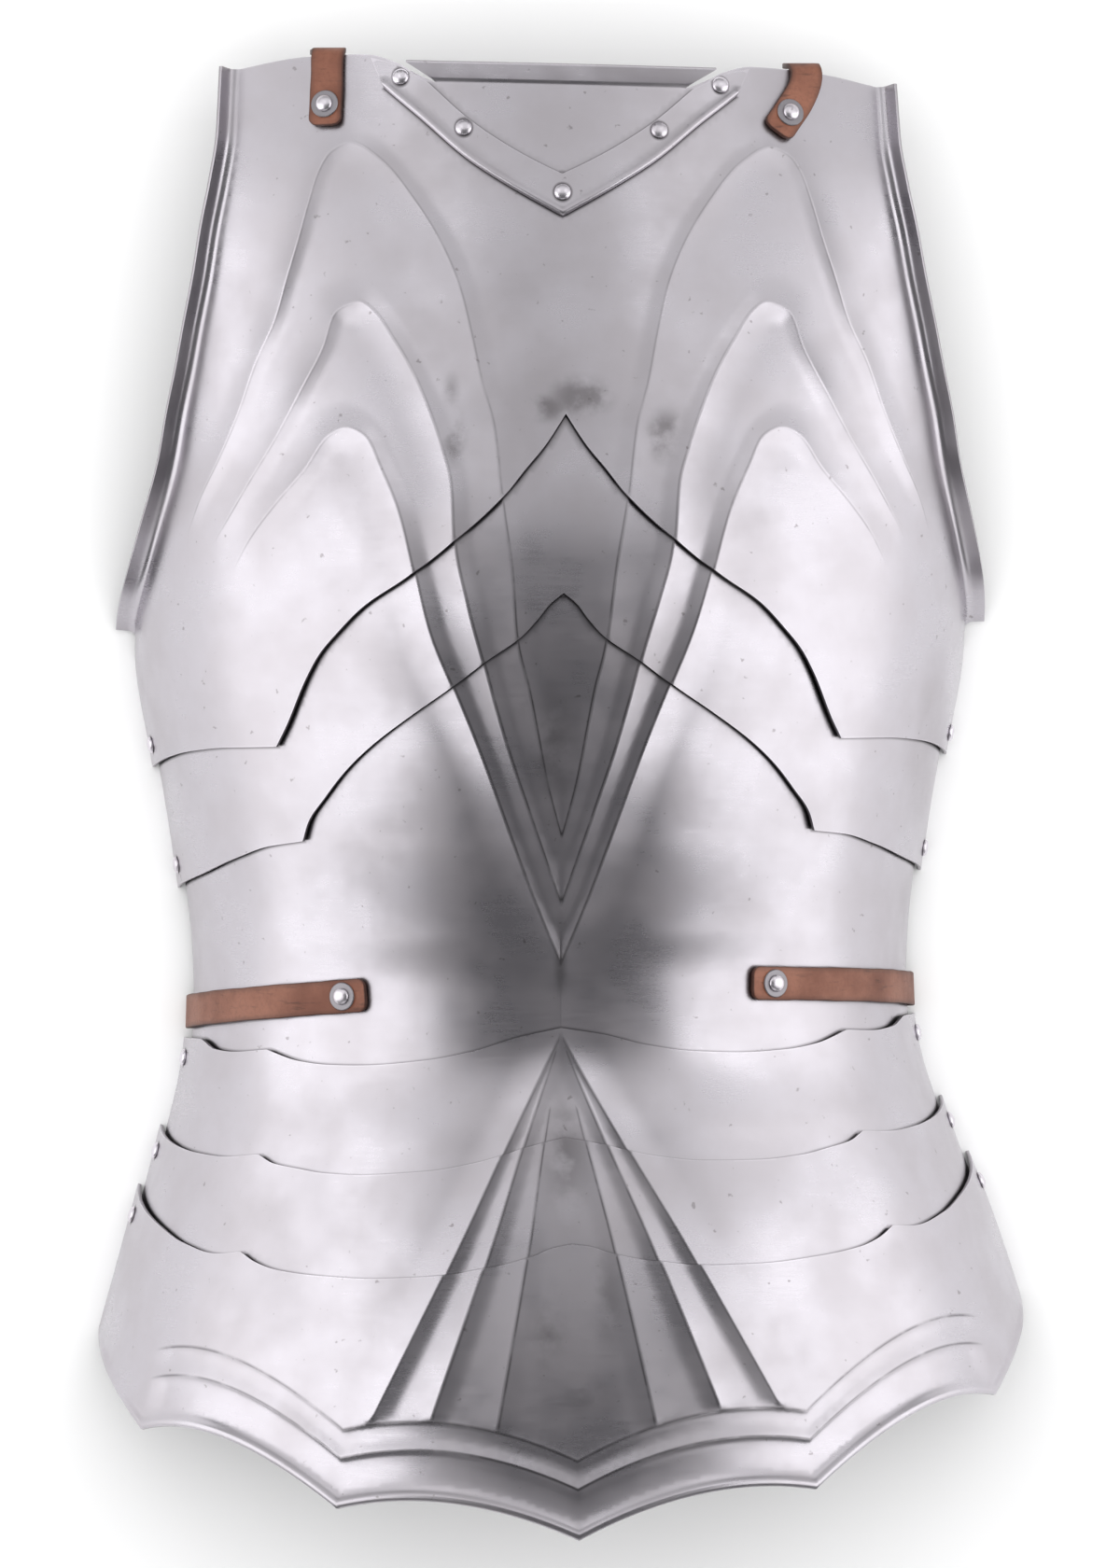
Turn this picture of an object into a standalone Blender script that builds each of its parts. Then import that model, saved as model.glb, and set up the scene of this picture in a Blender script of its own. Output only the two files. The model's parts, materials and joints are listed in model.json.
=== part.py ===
"""Steel cuirass breastplate with a riveted neck band, overlapping fluted waist
plates, a three-lame fauld with a scalloped hem, and four short leather straps.

Metres, +Z up. The cuirass lies on its back edges with the front up: X runs across
the body, +Y towards the neck and +Z out of the chest. Every plate is a piece of one
body form. A place on that form is a bearing, which is the angle round the body from
the middle of the front, and a height. The tables give heights as shares of LENGTH,
measured down from the shoulders, and distances from the middle as shares of
HALF_CHEST.
"""
import math

import bmesh
import bpy
import numpy as np
from mathutils import Vector
from mathutils.geometry import delaunay_2d_cdt

# Driving sizes
LENGTH = 0.672
HALF_CHEST = 0.189
CHEST_DEPTH = 0.157

PLATE = 0.0015
PLATE_GAP = 0.0016
FIT_GAP = 0.0003
OVERLAP = 0.021
WAIST_SKIRT = 0.021

ARM_FLANGE_RADIUS = 0.004
ARM_FLANGE_HEIGHT = 0.0085
ARM_FLANGE_TURN = math.radians(84)
ARM_FLANGE_END = 0.0065
SIDE_FOOT = 0.407
NECK_FLANGE_RADIUS = 0.003
NECK_FLANGE_HEIGHT = 0.0072
NECK_FLANGE_TURN = math.radians(52)
NECK_FLARE = 0.0135

BAND = 0.0016
BAND_BEAD = 0.0010
BAND_BEAD_WIDTH = 0.0032

RIDGE_HEIGHT = 0.0020
SHORT_FLANK = 0.0075
LONG_FLANK = 0.0160
SHORT_POWER = 1.3
LONG_POWER = 2.0

RIVET_HEAD = 0.0038
RIVET_DOME = 0.0021
RIVET_INSET = 0.0085
SHANK = 0.0017
PEEN = 0.0006
RIVET_SIDES = 8
HOLE_SIDES = 8

LEATHER = 0.0026
STRAP_WIDTH = 0.0150
STRAP_GAP = 0.0011
STRAP_BEND = 0.0026
SHOULDER_STRAP_HANG = 0.045
WAIST_STRAP_RETURN = 0.040
WASHER = 0.0063
WASHER_THICKNESS = 0.0010
SIDE_LIFT = 0.0085

HINGE_BEARING = math.radians(84.0)
MESH_STEP = 0.0260
EDGE_STEP = 0.0165
SEED_ROW = 0.87
SEED_CLEAR = 0.45
LINE_CLEAR = 1.2
LEAST_EDGE = 0.8
NO_SEEDS = 10000.0
MILLI = 1000.0

# The body form: height, half width and depth, how far the section is turned in
# the frontal plane in degrees, and how far it sits sideways.
FORM_COLUMNS = ("down", "half_width", "depth", "turn", "sideways")
FORM = np.array((
    (0.000, 0.963, 0.573, -2.0, 0.005),
    (0.094, 0.979, 0.713, -0.3, 0.005),
    (0.175, 0.988, 0.809, 0.0, 0.007),
    (0.250, 0.995, 0.892, 0.1, 0.008),
    (0.344, 0.995, 0.975, 0.5, 0.003),
    (0.406, 0.989, 1.000, 0.7, -0.003),
    (0.469, 0.953, 0.994, 0.9, -0.003),
    (0.531, 0.917, 0.962, 1.2, -0.003),
    (0.594, 0.889, 0.911, 1.5, -0.003),
    (0.631, 0.884, 0.886, 1.7, -0.003),
    (0.663, 0.892, 0.893, 1.9, -0.003),
    (0.729, 0.951, 0.962, 2.2, 0.003),
    (0.800, 1.032, 1.045, 2.3, 0.016),
    (0.875, 1.110, 1.121, 2.3, 0.022),
    (0.944, 1.166, 1.172, 2.3, 0.026),
    (1.000, 1.206, 1.212, 2.3, 0.029),
))

# Edges of the plates from the middle outwards: (across, down). The last row of a
# side edge lies on the back edge, at a bearing of 90 degrees.
BREAST_POINT = (
    (0.000, 0.247), (0.049, 0.268), (0.096, 0.284), (0.147, 0.302), (0.260, 0.331),
    (0.360, 0.353), (0.471, 0.374), (0.533, 0.392), (0.571, 0.405), (0.602, 0.421),
    (0.644, 0.450), (0.671, 0.466),
)
BREAST_SIDE = ((0.671, 0.466), (0.780, 0.466), (0.867, 0.468), (0.944, 0.476), (1.2, 0.478))
LAME_POINT = (
    (0.000, 0.366), (0.031, 0.373), (0.062, 0.384), (0.102, 0.396), (0.180, 0.411),
    (0.262, 0.428), (0.362, 0.447), (0.462, 0.468), (0.520, 0.484), (0.567, 0.501),
    (0.604, 0.516), (0.618, 0.529),
)
LAME_SIDE = ((0.618, 0.529), (0.700, 0.532), (0.773, 0.539), (0.860, 0.550), (1.2, 0.558))
FAULD_1_POINT = (
    (0.000, 0.656), (0.100, 0.661), (0.209, 0.669), (0.324, 0.674), (0.458, 0.676),
    (0.551, 0.675), (0.624, 0.672), (0.702, 0.664),
)
FAULD_1_SIDE = ((0.702, 0.664), (0.769, 0.665), (0.822, 0.663), (0.856, 0.656), (1.2, 0.655))
FAULD_2_POINT = (
    (0.000, 0.729), (0.093, 0.735), (0.167, 0.741), (0.222, 0.744), (0.329, 0.748),
    (0.467, 0.749), (0.564, 0.747), (0.633, 0.743), (0.687, 0.739), (0.718, 0.733),
)
FAULD_2_SIDE = ((0.718, 0.733), (0.787, 0.734), (0.856, 0.731), (0.896, 0.727), (1.2, 0.712))
FAULD_3_POINT = (
    (0.000, 0.801), (0.044, 0.803), (0.091, 0.808), (0.147, 0.812), (0.229, 0.816),
    (0.329, 0.819), (0.442, 0.819), (0.578, 0.816), (0.682, 0.811), (0.733, 0.805),
    (0.764, 0.798),
)
FAULD_3_SIDE = ((0.764, 0.798), (0.811, 0.799), (0.893, 0.791), (0.940, 0.780), (1.2, 0.752))

# The hem's points and the rise of the arch between each and the next one out.
HEM_COLUMNS = ("across", "down", "arch")
HEM = ((0.00, 0.997, 0.0140), (0.56, 0.970, 0.0200), (1.00, 0.914, 0.0060), (1.20, 0.846, 0.0))

# The border's two stepped coves and rolled rim: millimetres above the hem and of lift.
# The coves and then the rim fade out towards the back edges, between these bearings.
HEM_PROFILE = (
    (0.0, 1.3), (4.3, 0.2), (17.0, -1.25), (22.5, 0.15), (32.6, -0.75), (35.0, 0.12), (40.0, 0.0),
)
HEM_RIM_ROW = 1
COVE_FADE = (math.radians(57.6), math.radians(61.2))
RIM_FADE = (math.radians(76.0), math.radians(85.0))

# Top and armhole of the breastplate: (across, down).
NECK_CORNER = (0.295, 0.0275)
SHOULDER = ((0.350, 0.021), (0.390, 0.015), (0.455, 0.0105), (0.600, 0.013), (0.756, 0.0215))
ARMHOLE = (
    (0.756, 0.0215), (0.764, 0.062), (0.782, 0.094), (0.804, 0.125), (0.822, 0.156),
    (0.844, 0.188), (0.864, 0.219), (0.886, 0.250), (0.904, 0.281), (0.938, 0.319),
    (0.971, 0.356), (0.991, 0.392),
)
BAND_INNER = ((0.000, 0.0875), (0.049, 0.081), (0.133, 0.068), (0.222, 0.051), (0.311, 0.029))
BAND_TOP = ((0.350, 0.023), (0.388, 0.0172), (0.448, 0.013))
BAND_OUTER = ((0.000, 0.1155), (0.111, 0.098), (0.222, 0.078), (0.333, 0.0515), (0.418, 0.032))
BAND_RIVETS = ((0.378, 0.0252), (0.231, 0.0575), (0.000, 0.0998))

# Crests: each runs from the middle of the waist up over its apex and down beside
# the armhole: (across, down, height as a share of RIDGE_HEIGHT).
CREST_1 = (
    (0.000, 0.534, 0.40), (0.038, 0.494, 0.40), (0.060, 0.462, 0.40), (0.082, 0.431, 0.40),
    (0.109, 0.400, 0.40), (0.127, 0.350, 0.40), (0.151, 0.306, 0.40), (0.171, 0.256, 0.40),
    (0.200, 0.225, 0.40), (0.222, 0.194, 0.40), (0.249, 0.162, 0.45), (0.289, 0.134, 0.50),
    (0.351, 0.105, 0.55), (0.430, 0.078, 0.55), (0.500, 0.067, 0.50), (0.545, 0.073, 0.55),
    (0.574, 0.086, 0.60), (0.597, 0.106, 0.70), (0.622, 0.131, 0.80), (0.649, 0.156, 0.90),
    (0.678, 0.184, 0.90), (0.722, 0.212, 0.90), (0.762, 0.244, 0.80), (0.809, 0.275, 0.60),
    (0.856, 0.303, 0.30), (0.884, 0.326, 0.00),
)
CREST_2 = (
    (0.000, 0.578, 0.60), (0.027, 0.556, 0.60), (0.082, 0.512, 0.60), (0.127, 0.475, 0.60),
    (0.160, 0.444, 0.65), (0.187, 0.416, 0.65), (0.231, 0.372, 0.70), (0.262, 0.334, 0.70),
    (0.271, 0.294, 0.70), (0.293, 0.269, 0.70), (0.327, 0.241, 0.65), (0.360, 0.219, 0.60),
    (0.404, 0.197, 0.55), (0.449, 0.178, 0.50), (0.482, 0.172, 0.50), (0.538, 0.179, 0.60),
    (0.569, 0.203, 0.70), (0.620, 0.231, 0.80), (0.678, 0.262, 0.75), (0.740, 0.291, 0.60),
    (0.784, 0.312, 0.30), (0.824, 0.331, 0.00),
)
CREST_3 = (
    (0.000, 0.616, 0.75), (0.071, 0.569, 0.75), (0.138, 0.519, 0.75), (0.204, 0.469, 0.75),
    (0.260, 0.431, 0.75), (0.318, 0.391, 0.75), (0.356, 0.352, 0.70), (0.393, 0.312, 0.65),
    (0.438, 0.281, 0.55), (0.471, 0.262, 0.50), (0.516, 0.256, 0.50), (0.556, 0.261, 0.55),
    (0.613, 0.284, 0.65), (0.680, 0.306, 0.55), (0.738, 0.328, 0.30), (0.778, 0.349, 0.00),
)

# Straight crests of the fauld: (slope, start below FAN_TOP, share of RIDGE_HEIGHT).
FAN_TOP = 0.659
FAN_END = 0.925
FAN_ROWS = 6
FANS = ((0.20, 0.050, 0.4), (0.375, 0.012, 0.6), (0.53, 0.002, 0.7))

# The side rivets sit RIVET_INSET inside the side edges of their plates: up from a
# lower edge (-1) or down from an upper one (1).
SIDE_EDGES = {
    "breast": (BREAST_SIDE, -1), "lame": (LAME_SIDE, -1), "fauld_1": (FAULD_1_SIDE, 1),
    "fauld_2": (FAULD_2_SIDE, 1), "fauld_3": (FAULD_3_SIDE, 1),
}
SHOULDER_STRAP = {"inner": 0.057, "rivet": 0.044}
SHOULDER_STRAP_LEAN = {"right": (0.540, 0.584, 0.0140), "left": (0.552, 0.548, 0.0134)}
WAIST_STRAP = {"inner": 0.468, "rivet": 0.520, "down": 0.6305, "drop": 0.008}

STEEL = ("steel", (0.46, 0.45, 0.46, 1.0), 0.30, 1.0)
BRIGHT = ("rivet_steel", (0.52, 0.51, 0.52, 1.0), 0.24, 1.0)
HIDE = ("leather", (0.30, 0.12, 0.07, 1.0), 0.62, 0.0)


def smooth(table_x, table_y, x):
    """Monotone cubic through the table, read at x."""
    table_x, table_y = np.asarray(table_x, float), np.asarray(table_y, float)
    run, rise = np.diff(table_x), np.diff(table_y)
    slope = rise / run
    tangent = np.zeros(len(table_x))
    same = slope[1:] * slope[:-1] > 0
    total = np.where(same, slope[1:] + slope[:-1], 1)
    tangent[1:-1] = np.where(same, 2 * slope[1:] * slope[:-1] / total, 0)
    tangent[0], tangent[-1] = slope[0], slope[-1]
    x = np.clip(x, table_x[0], table_x[-1])
    i = np.clip(np.searchsorted(table_x, x, side="right") - 1, 0, len(run) - 1)
    t = (x - table_x[i]) / run[i]
    return (table_y[i] * (1 + 2 * t) * (1 - t) ** 2 + tangent[i] * run[i] * t * (1 - t) ** 2
            + table_y[i + 1] * t * t * (3 - 2 * t) + tangent[i + 1] * run[i] * t * t * (t - 1))


def form(down):
    """Half width, depth, turn and sideways place of the body at a height."""
    values = [smooth(FORM[:, 0], FORM[:, k], down) for k in range(1, len(FORM_COLUMNS))]
    half_width, depth, turn, sideways = values
    return half_width * HALF_CHEST, depth * CHEST_DEPTH, np.radians(turn), sideways * HALF_CHEST


def bearing(across, down):
    """Angle round the body of a point seen from the front."""
    return np.arcsin(np.clip(np.asarray(across) * HALF_CHEST / form(down)[0], -1, 1))


def form_point(angle, down):
    """World points on the body form itself."""
    half_width, depth, turn, sideways = form(down)
    x = half_width * np.sin(angle)
    z = depth * np.cos(angle)
    y = (0.5 - down) * LENGTH + x * np.tan(turn)
    return np.stack((x + sideways, y, z), axis=-1)


def normal_at(angle, down):
    """Outward unit normal of the body form."""
    step = 1e-4
    around = form_point(angle + step, down) - form_point(angle - step, down)
    along = form_point(angle, down - step) - form_point(angle, down + step)
    normal = np.cross(around, along)
    return normal / np.linalg.norm(normal, axis=-1, keepdims=True)


def side_rivet_height(place):
    """Height of a pair of side rivets, from the side edge that they sit inside."""
    table, inward = SIDE_EDGES[place]
    across, down = np.array(table).T
    edge = np.interp(HINGE_BEARING, bearing(across, down), down)
    return float(edge) + inward * RIVET_INSET / LENGTH


def on_body(angle, down, lift):
    """World points at a bearing and height, lifted square off the body form."""
    lift = np.asarray(lift, float)
    return form_point(angle, down) + normal_at(angle, down) * lift[..., None]


def to_sheet(across, down):
    """Flat sheet coordinates in millimetres of a point seen from the front."""
    angle = bearing(across, down)
    return np.stack((angle * HALF_CHEST, -np.asarray(down) * LENGTH), axis=-1) * MILLI


def from_sheet(points):
    """Bearing and height of sheet coordinates."""
    return points[:, 0] / MILLI / HALF_CHEST, -points[:, 1] / MILLI / LENGTH


def resample(points, step):
    """Points every step or so along a smooth curve through the given ones."""
    points = np.asarray(points, float)
    span = np.linalg.norm(np.diff(points, axis=0), axis=1)
    reach = np.concatenate(([0.0], np.cumsum(span)))
    count = max(1, round(reach[-1] / step))
    at = np.linspace(0, reach[-1], count + 1)
    return np.stack([smooth(reach, points[:, k], at) for k in range(points.shape[1])], axis=-1)


def half_edge(*tables):
    """Sheet curve of one or more edge tables that meet in corners."""
    pieces = []
    for table in tables:
        across, down = np.array(table).T
        pieces.append(resample(to_sheet(across, down), EDGE_STEP * MILLI))
    return np.concatenate([piece[:-1] for piece in pieces[:-1]] + [pieces[-1]])


def mirrored(points):
    """The curve on the other side of the body."""
    return points * np.array((-1.0, 1.0))


def across_body(half):
    """A whole edge from one back edge to the other, from its half."""
    return np.concatenate((mirrored(half)[::-1], half[1:]))


def moved(curve, up):
    """The curve moved up the sheet by a length."""
    return curve + np.array((0.0, up * MILLI))


def hem_edge():
    """Half of the scalloped hem: an arch between each two points."""
    pieces = []
    for (across_a, down_a, arch), (across_b, down_b, _) in zip(HEM, HEM[1:]):
        ends = to_sheet(np.array((across_a, across_b)), np.array((down_a, down_b)))
        count = max(3, round(np.linalg.norm(ends[1] - ends[0]) / (EDGE_STEP * MILLI)))
        t = np.linspace(0, 1, count + 1)[:, None]
        curve = ends[0] * (1 - t) + ends[1] * t
        curve[:, 1] += (4 * t * (1 - t))[:, 0] * arch * LENGTH * MILLI
        pieces.append(curve)
    return np.concatenate([piece[:-1] for piece in pieces[:-1]] + [pieces[-1]])


def nearest(points, line):
    """Distance to a polyline, the side it is on and the place along it."""
    best = np.full(len(points), np.inf)
    side = np.ones(len(points))
    place = np.zeros(len(points))
    for k, (a, b) in enumerate(zip(line, line[1:])):
        edge = b - a
        t = np.clip(((points - a) @ edge) / (edge @ edge), 0, 1)
        gap = points - (a + t[:, None] * edge)
        distance = np.linalg.norm(gap, axis=1)
        closer = distance < best
        cross = edge[0] * (points[:, 1] - a[1]) - edge[1] * (points[:, 0] - a[0])
        best = np.where(closer, distance, best)
        side = np.where(closer, np.sign(cross), side)
        place = np.where(closer, k + t, place)
    return best, side, place


class Flute:
    """One crest: a long flank away from the middle and a short one towards it."""

    def __init__(self, rows):
        across, down, share = np.array(rows).T
        curve = resample(np.column_stack((to_sheet(across, down), share)), EDGE_STEP * MILLI)
        self.line, self.share = curve[:, :2], curve[:, 2]
        ahead = np.gradient(self.line, axis=0)
        self.climb = ahead[:, 1] / np.linalg.norm(ahead, axis=1)

    def lift(self, points):
        """The crest's lift at points on the right half of the body."""
        distance, side, place = nearest(points, self.line)
        stations = np.arange(len(self.share))
        share = np.interp(place, stations, self.share)
        climb = np.interp(place, stations, self.climb)
        outward = 0.5 - 0.5 * side * np.clip(climb * 1.4, -1, 1)
        width = (SHORT_FLANK + (LONG_FLANK - SHORT_FLANK) * outward) * MILLI
        power = SHORT_POWER + (LONG_POWER - SHORT_POWER) * outward
        return RIDGE_HEIGHT * share * np.clip(1 - distance / width, 0, 1) ** power


def fan_rows(slope, start, share):
    """A straight crest of the fauld, spreading from the middle of the waist."""
    rows = []
    for down in np.linspace(FAN_TOP + start, FAN_END, FAN_ROWS):
        across = slope * (down - FAN_TOP) * LENGTH / HALF_CHEST
        rows.append((across, down, share if rows else share / 2))
    return rows


CHEST_FLUTES = [Flute(rows) for rows in (CREST_1, CREST_2, CREST_3)]
FAULD_FLUTES = [Flute(fan_rows(*fan)) for fan in FANS]


def fluting(flutes):
    """Relief of a set of crests, the same on both sides of the body."""
    def relief(points):
        folded = np.column_stack((np.abs(points[:, 0]), points[:, 1]))
        return np.max([flute.lift(folded) for flute in flutes], axis=0)
    return relief


def fading(angle, start, end):
    """One up to the start, falling to nothing at the end."""
    return 1 - np.clip((angle - start) / (end - start), 0, 1)


def hem_relief(points):
    """Crests, then the border's two stepped coves and its rolled rim."""
    hem = hem_edge()
    across = np.abs(points[:, 0])
    height = points[:, 1] - np.interp(across, hem[:, 0], hem[:, 1])
    heights, lifts = np.array(HEM_PROFILE).T
    border = np.interp(height, heights, lifts) / MILLI
    cove = height > heights[HEM_RIM_ROW]
    angle = from_sheet(np.column_stack((across, height)))[0]
    border *= np.where(cove, fading(angle, *COVE_FADE), fading(angle, *RIM_FADE))
    top = heights[-2]
    return fluting(FAULD_FLUTES)(points) * np.clip((height - top) / 3, 0, 1) + border


def band_relief(points):
    """A raised bead along the outer edge of the neck band."""
    across, down = np.array(BAND_OUTER).T
    line = resample(to_sheet(across, down), EDGE_STEP * MILLI)
    distance, _, _ = nearest(np.column_stack((np.abs(points[:, 0]), points[:, 1])), line)
    width = BAND_BEAD_WIDTH * MILLI
    return BAND_BEAD * np.clip(1 - (distance / width) ** 2, 0, 1)


def inside(points, outline):
    """Which points a closed outline holds."""
    held = np.zeros(len(points), bool)
    for a, b in zip(outline, np.roll(outline, -1, axis=0)):
        crosses = (a[1] > points[:, 1]) != (b[1] > points[:, 1])
        if a[1] != b[1]:
            x = a[0] + (points[:, 1] - a[1]) * (b[0] - a[0]) / (b[1] - a[1])
            held ^= crosses & (points[:, 0] < x)
    return held


def crossed(outline, lines):
    """The outline with a corner wherever a line crosses it, and each corner's source."""
    corners, sources = [], []
    for index, (a, b) in enumerate(zip(outline, np.roll(outline, -1, axis=0))):
        corners.append(a)
        sources.append(index)
        edge = b - a
        places = []
        for line in lines:
            starts, spans = line[:-1], np.diff(line, axis=0)
            cross = edge[0] * spans[:, 1] - edge[1] * spans[:, 0]
            cross = np.where(np.abs(cross) < 1e-9, np.inf, cross)
            gap = starts - a
            t = (gap[:, 0] * spans[:, 1] - gap[:, 1] * spans[:, 0]) / cross
            u = (gap[:, 0] * edge[1] - gap[:, 1] * edge[0]) / cross
            places += list(t[(t > 0) & (t < 1) & (u >= 0) & (u <= 1)])
        length = np.linalg.norm(edge)
        last = 0.0
        for place in sorted(places):
            if place * length > last + LEAST_EDGE and (1 - place) * length > LEAST_EDGE:
                corners.append(a + edge * place)
                sources.append(None)
                last = place * length
    return np.array(corners), sources


def triangulate(outline, lines, holes, step):
    """Triangles of a sheet outline that follow its crease lines and leave its holes."""
    outline, sources = crossed(outline, lines)
    verts, edges = list(outline), []
    loops = [list(range(len(outline)))]
    closed = np.concatenate((outline, outline[:1]))
    fixed = [closed]
    for centre, radius in holes:
        turn = np.linspace(0, math.tau, HOLE_SIDES, endpoint=False)
        ring = centre + radius * np.stack((np.cos(turn), np.sin(turn)), axis=-1)
        loops.append(list(range(len(verts), len(verts) + len(ring))))
        verts.extend(ring)
        fixed.append(np.concatenate((ring, ring[:1])))
    for line in lines:
        points = line
        keep = inside(points, outline)
        for ring in fixed:
            keep &= nearest(points, ring)[0] > LINE_CLEAR
        last = None
        for point, kept in zip(points, keep):
            if kept:
                verts.append(point)
                if last is not None:
                    edges.append((last, len(verts) - 1))
                last = len(verts) - 1
            else:
                last = None
        fixed.append(points)
    low, high = (np.round(corner(outline, axis=0) / (step, step * SEED_ROW)).astype(int)
                 for corner in (np.min, np.max))
    seeds = [((column + (row % 2) / 2) * step, row * step * SEED_ROW)
             for row in range(low[1], high[1] + 1) for column in range(low[0] - 1, high[0] + 1)]
    seeds = np.array(seeds)
    keep = inside(seeds, outline)
    for line in fixed:
        keep &= nearest(seeds, line)[0] > step * SEED_CLEAR
    verts.extend(seeds[keep])
    for loop in loops:
        edges.extend(zip(loop, loop[1:] + loop[:1]))
    flat, _, faces, origin, _, _ = delaunay_2d_cdt(
        [Vector(v) for v in verts], edges, [loops[0]], 1, 1e-4)
    flat = np.array([tuple(v) for v in flat])
    faces = [tuple(face) for face in faces]
    centres = np.array([flat[list(face)].mean(axis=0) for face in faces])
    solid = np.ones(len(faces), bool)
    for centre, radius in holes:
        solid &= np.linalg.norm((centres - centre) / radius, axis=1) > 1
    faces = [face for face, kept in zip(faces, solid) if kept]
    border = {}
    for index, merged in enumerate(origin):
        for vert in merged:
            if vert < len(outline):
                border[sources[vert]] = index
    return flat, faces, border


def shell(name, outer, inner, faces, material, body):
    """A closed wall between two copies of one triangulated sheet."""
    count = len(outer)
    walls = [tuple(face) for face in faces]
    walls += [tuple(count + index for index in reversed(face)) for face in faces]
    edges = {}
    for face in faces:
        for a, b in zip(face, face[1:] + face[:1]):
            edges[a, b] = True
    for a, b in edges:
        if (b, a) not in edges:
            walls.append((b, a, count + a, count + b))
    return add_mesh(name, np.concatenate((outer, inner)), walls, material, body)


def turned_out(outer, normals, faces, loop, size, flare):
    """Rows of a flange that turns out along part of a plate's border.

    The flange's ends may flare sideways, so that they follow the border beyond them.
    """
    radius, height, turn = size
    run, rise = outer[loop], normals[loop]
    along = np.gradient(run, axis=0)
    away = np.cross(along, rise)
    away /= np.linalg.norm(away, axis=1, keepdims=True)
    straight = max(height - radius * (1 - math.cos(turn)), radius / 4) / math.sin(turn)
    shift = np.zeros(run.shape)
    shift[0] = -along[0] / np.linalg.norm(along[0]) * flare
    shift[-1] = along[-1] / np.linalg.norm(along[-1]) * flare
    full = radius * turn + straight
    rows = [(turn * k / 3, 0.0) for k in (1, 2, 3)] + [(turn, straight)]
    outer_rows, back_rows, last = [], [], list(loop)
    count = len(outer)
    centre = run + rise * radius
    for angle, reach in rows:
        heading = away * math.cos(angle) + rise * math.sin(angle)
        spoke = away * math.sin(angle) - rise * math.cos(angle)
        offset = heading * reach + shift * (radius * angle + reach) / full
        outer_rows.append(centre + radius * spoke + offset)
        back_rows.append(centre + (radius + PLATE) * spoke + offset)
        current = list(range(count, count + len(loop)))
        for k in range(len(loop) - 1):
            faces.append((last[k + 1], last[k], current[k], current[k + 1]))
        last, count = current, count + len(loop)
    return np.concatenate(outer_rows), np.concatenate(back_rows)


def plate(name, outline, lift, relief, lines, holes, body, flanges=(), wall=PLATE):
    """One armour plate: a sheet on the body form, with its relief and flanges."""
    rings = [hole_ring(angle, down, lift) for angle, down in holes]
    flat, faces, border = triangulate(outline, lines, rings, MESH_STEP * MILLI)
    angle, down = from_sheet(flat)
    height = lift + relief(flat)
    outer = on_body(angle, down, height)
    inner = on_body(angle, down, height - wall)
    normals = normal_at(angle, down)
    for start, end, size, flare in flanges:
        loop = [border[index] for index in range(start, end + 1)]
        fronts, backs = turned_out(outer, normals, faces, loop, size, flare)
        outer, inner = np.concatenate((outer, fronts)), np.concatenate((inner, backs))
        normals = np.concatenate((normals, np.zeros(fronts.shape)))
    return shell(name, outer, inner, faces, STEEL, body)


def hole_ring(angle, down, lift):
    """Centre and radii of a rivet hole on the sheet, in millimetres."""
    step = 1e-3
    around = np.linalg.norm(on_body(angle + step, down, lift) - on_body(angle, down, lift))
    stretch = around / (step * HALF_CHEST)
    radius = (SHANK + FIT_GAP) / math.cos(math.pi / HOLE_SIDES) * MILLI
    centre = np.array((angle * HALF_CHEST, -down * LENGTH)) * MILLI
    return centre, np.array((radius / stretch, radius))


def add_mesh(name, points, faces, material, body):
    """An object whose mesh is given in the space of its body's pivot."""
    mesh = bpy.data.meshes.new(name)
    shifted = points - np.array(PIVOTS[body])
    mesh.from_pydata([tuple(point) for point in shifted], [], faces)
    mesh.shade_smooth()
    mesh.set_sharp_from_angle(angle=math.radians(40))
    return add_object(name, mesh, material, body)


def add_object(name, mesh, material, body):
    """Link a mesh as an object with its own material, under its body's pivot."""
    obj = bpy.data.objects.new(name, mesh)
    bpy.context.collection.objects.link(obj)
    obj.parent = bpy.data.objects[body + "_pivot"]
    label, colour, roughness, metallic = material
    paint = bpy.data.materials.new(f"{name}_{label}")
    paint.use_nodes = True
    shader = paint.node_tree.nodes["Principled BSDF"]
    shader.inputs["Base Color"].default_value = colour
    shader.inputs["Roughness"].default_value = roughness
    shader.inputs["Metallic"].default_value = metallic
    mesh.materials.append(paint)
    return obj


def turned(name, profile, centre, normal, material, body):
    """A turned piece: its profile of (radius, height) spun about the normal."""
    mesh = bpy.data.meshes.new(name)
    work = bmesh.new()
    verts = [work.verts.new((radius, 0.0, height)) for radius, height in profile]
    edges = [work.edges.new(pair) for pair in zip(verts, verts[1:])]
    if profile[0][0] > 0:
        edges.append(work.edges.new((verts[-1], verts[0])))
    bmesh.ops.spin(work, geom=verts + edges, cent=(0, 0, 0), axis=(0, 0, 1),
                   angle=math.tau, steps=RIVET_SIDES, use_merge=False, use_duplicate=False)
    bmesh.ops.remove_doubles(work, verts=work.verts, dist=1e-6)
    bmesh.ops.recalc_face_normals(work, faces=work.faces)
    work.to_mesh(mesh)
    work.free()
    mesh.shade_smooth()
    mesh.set_sharp_from_angle(angle=math.radians(40))
    obj = add_object(name, mesh, material, body)
    obj.location = Vector(centre) - Vector(PIVOTS[body])
    obj.rotation_euler = Vector(normal).to_track_quat("Z", "Y").to_euler()
    return obj


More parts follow.
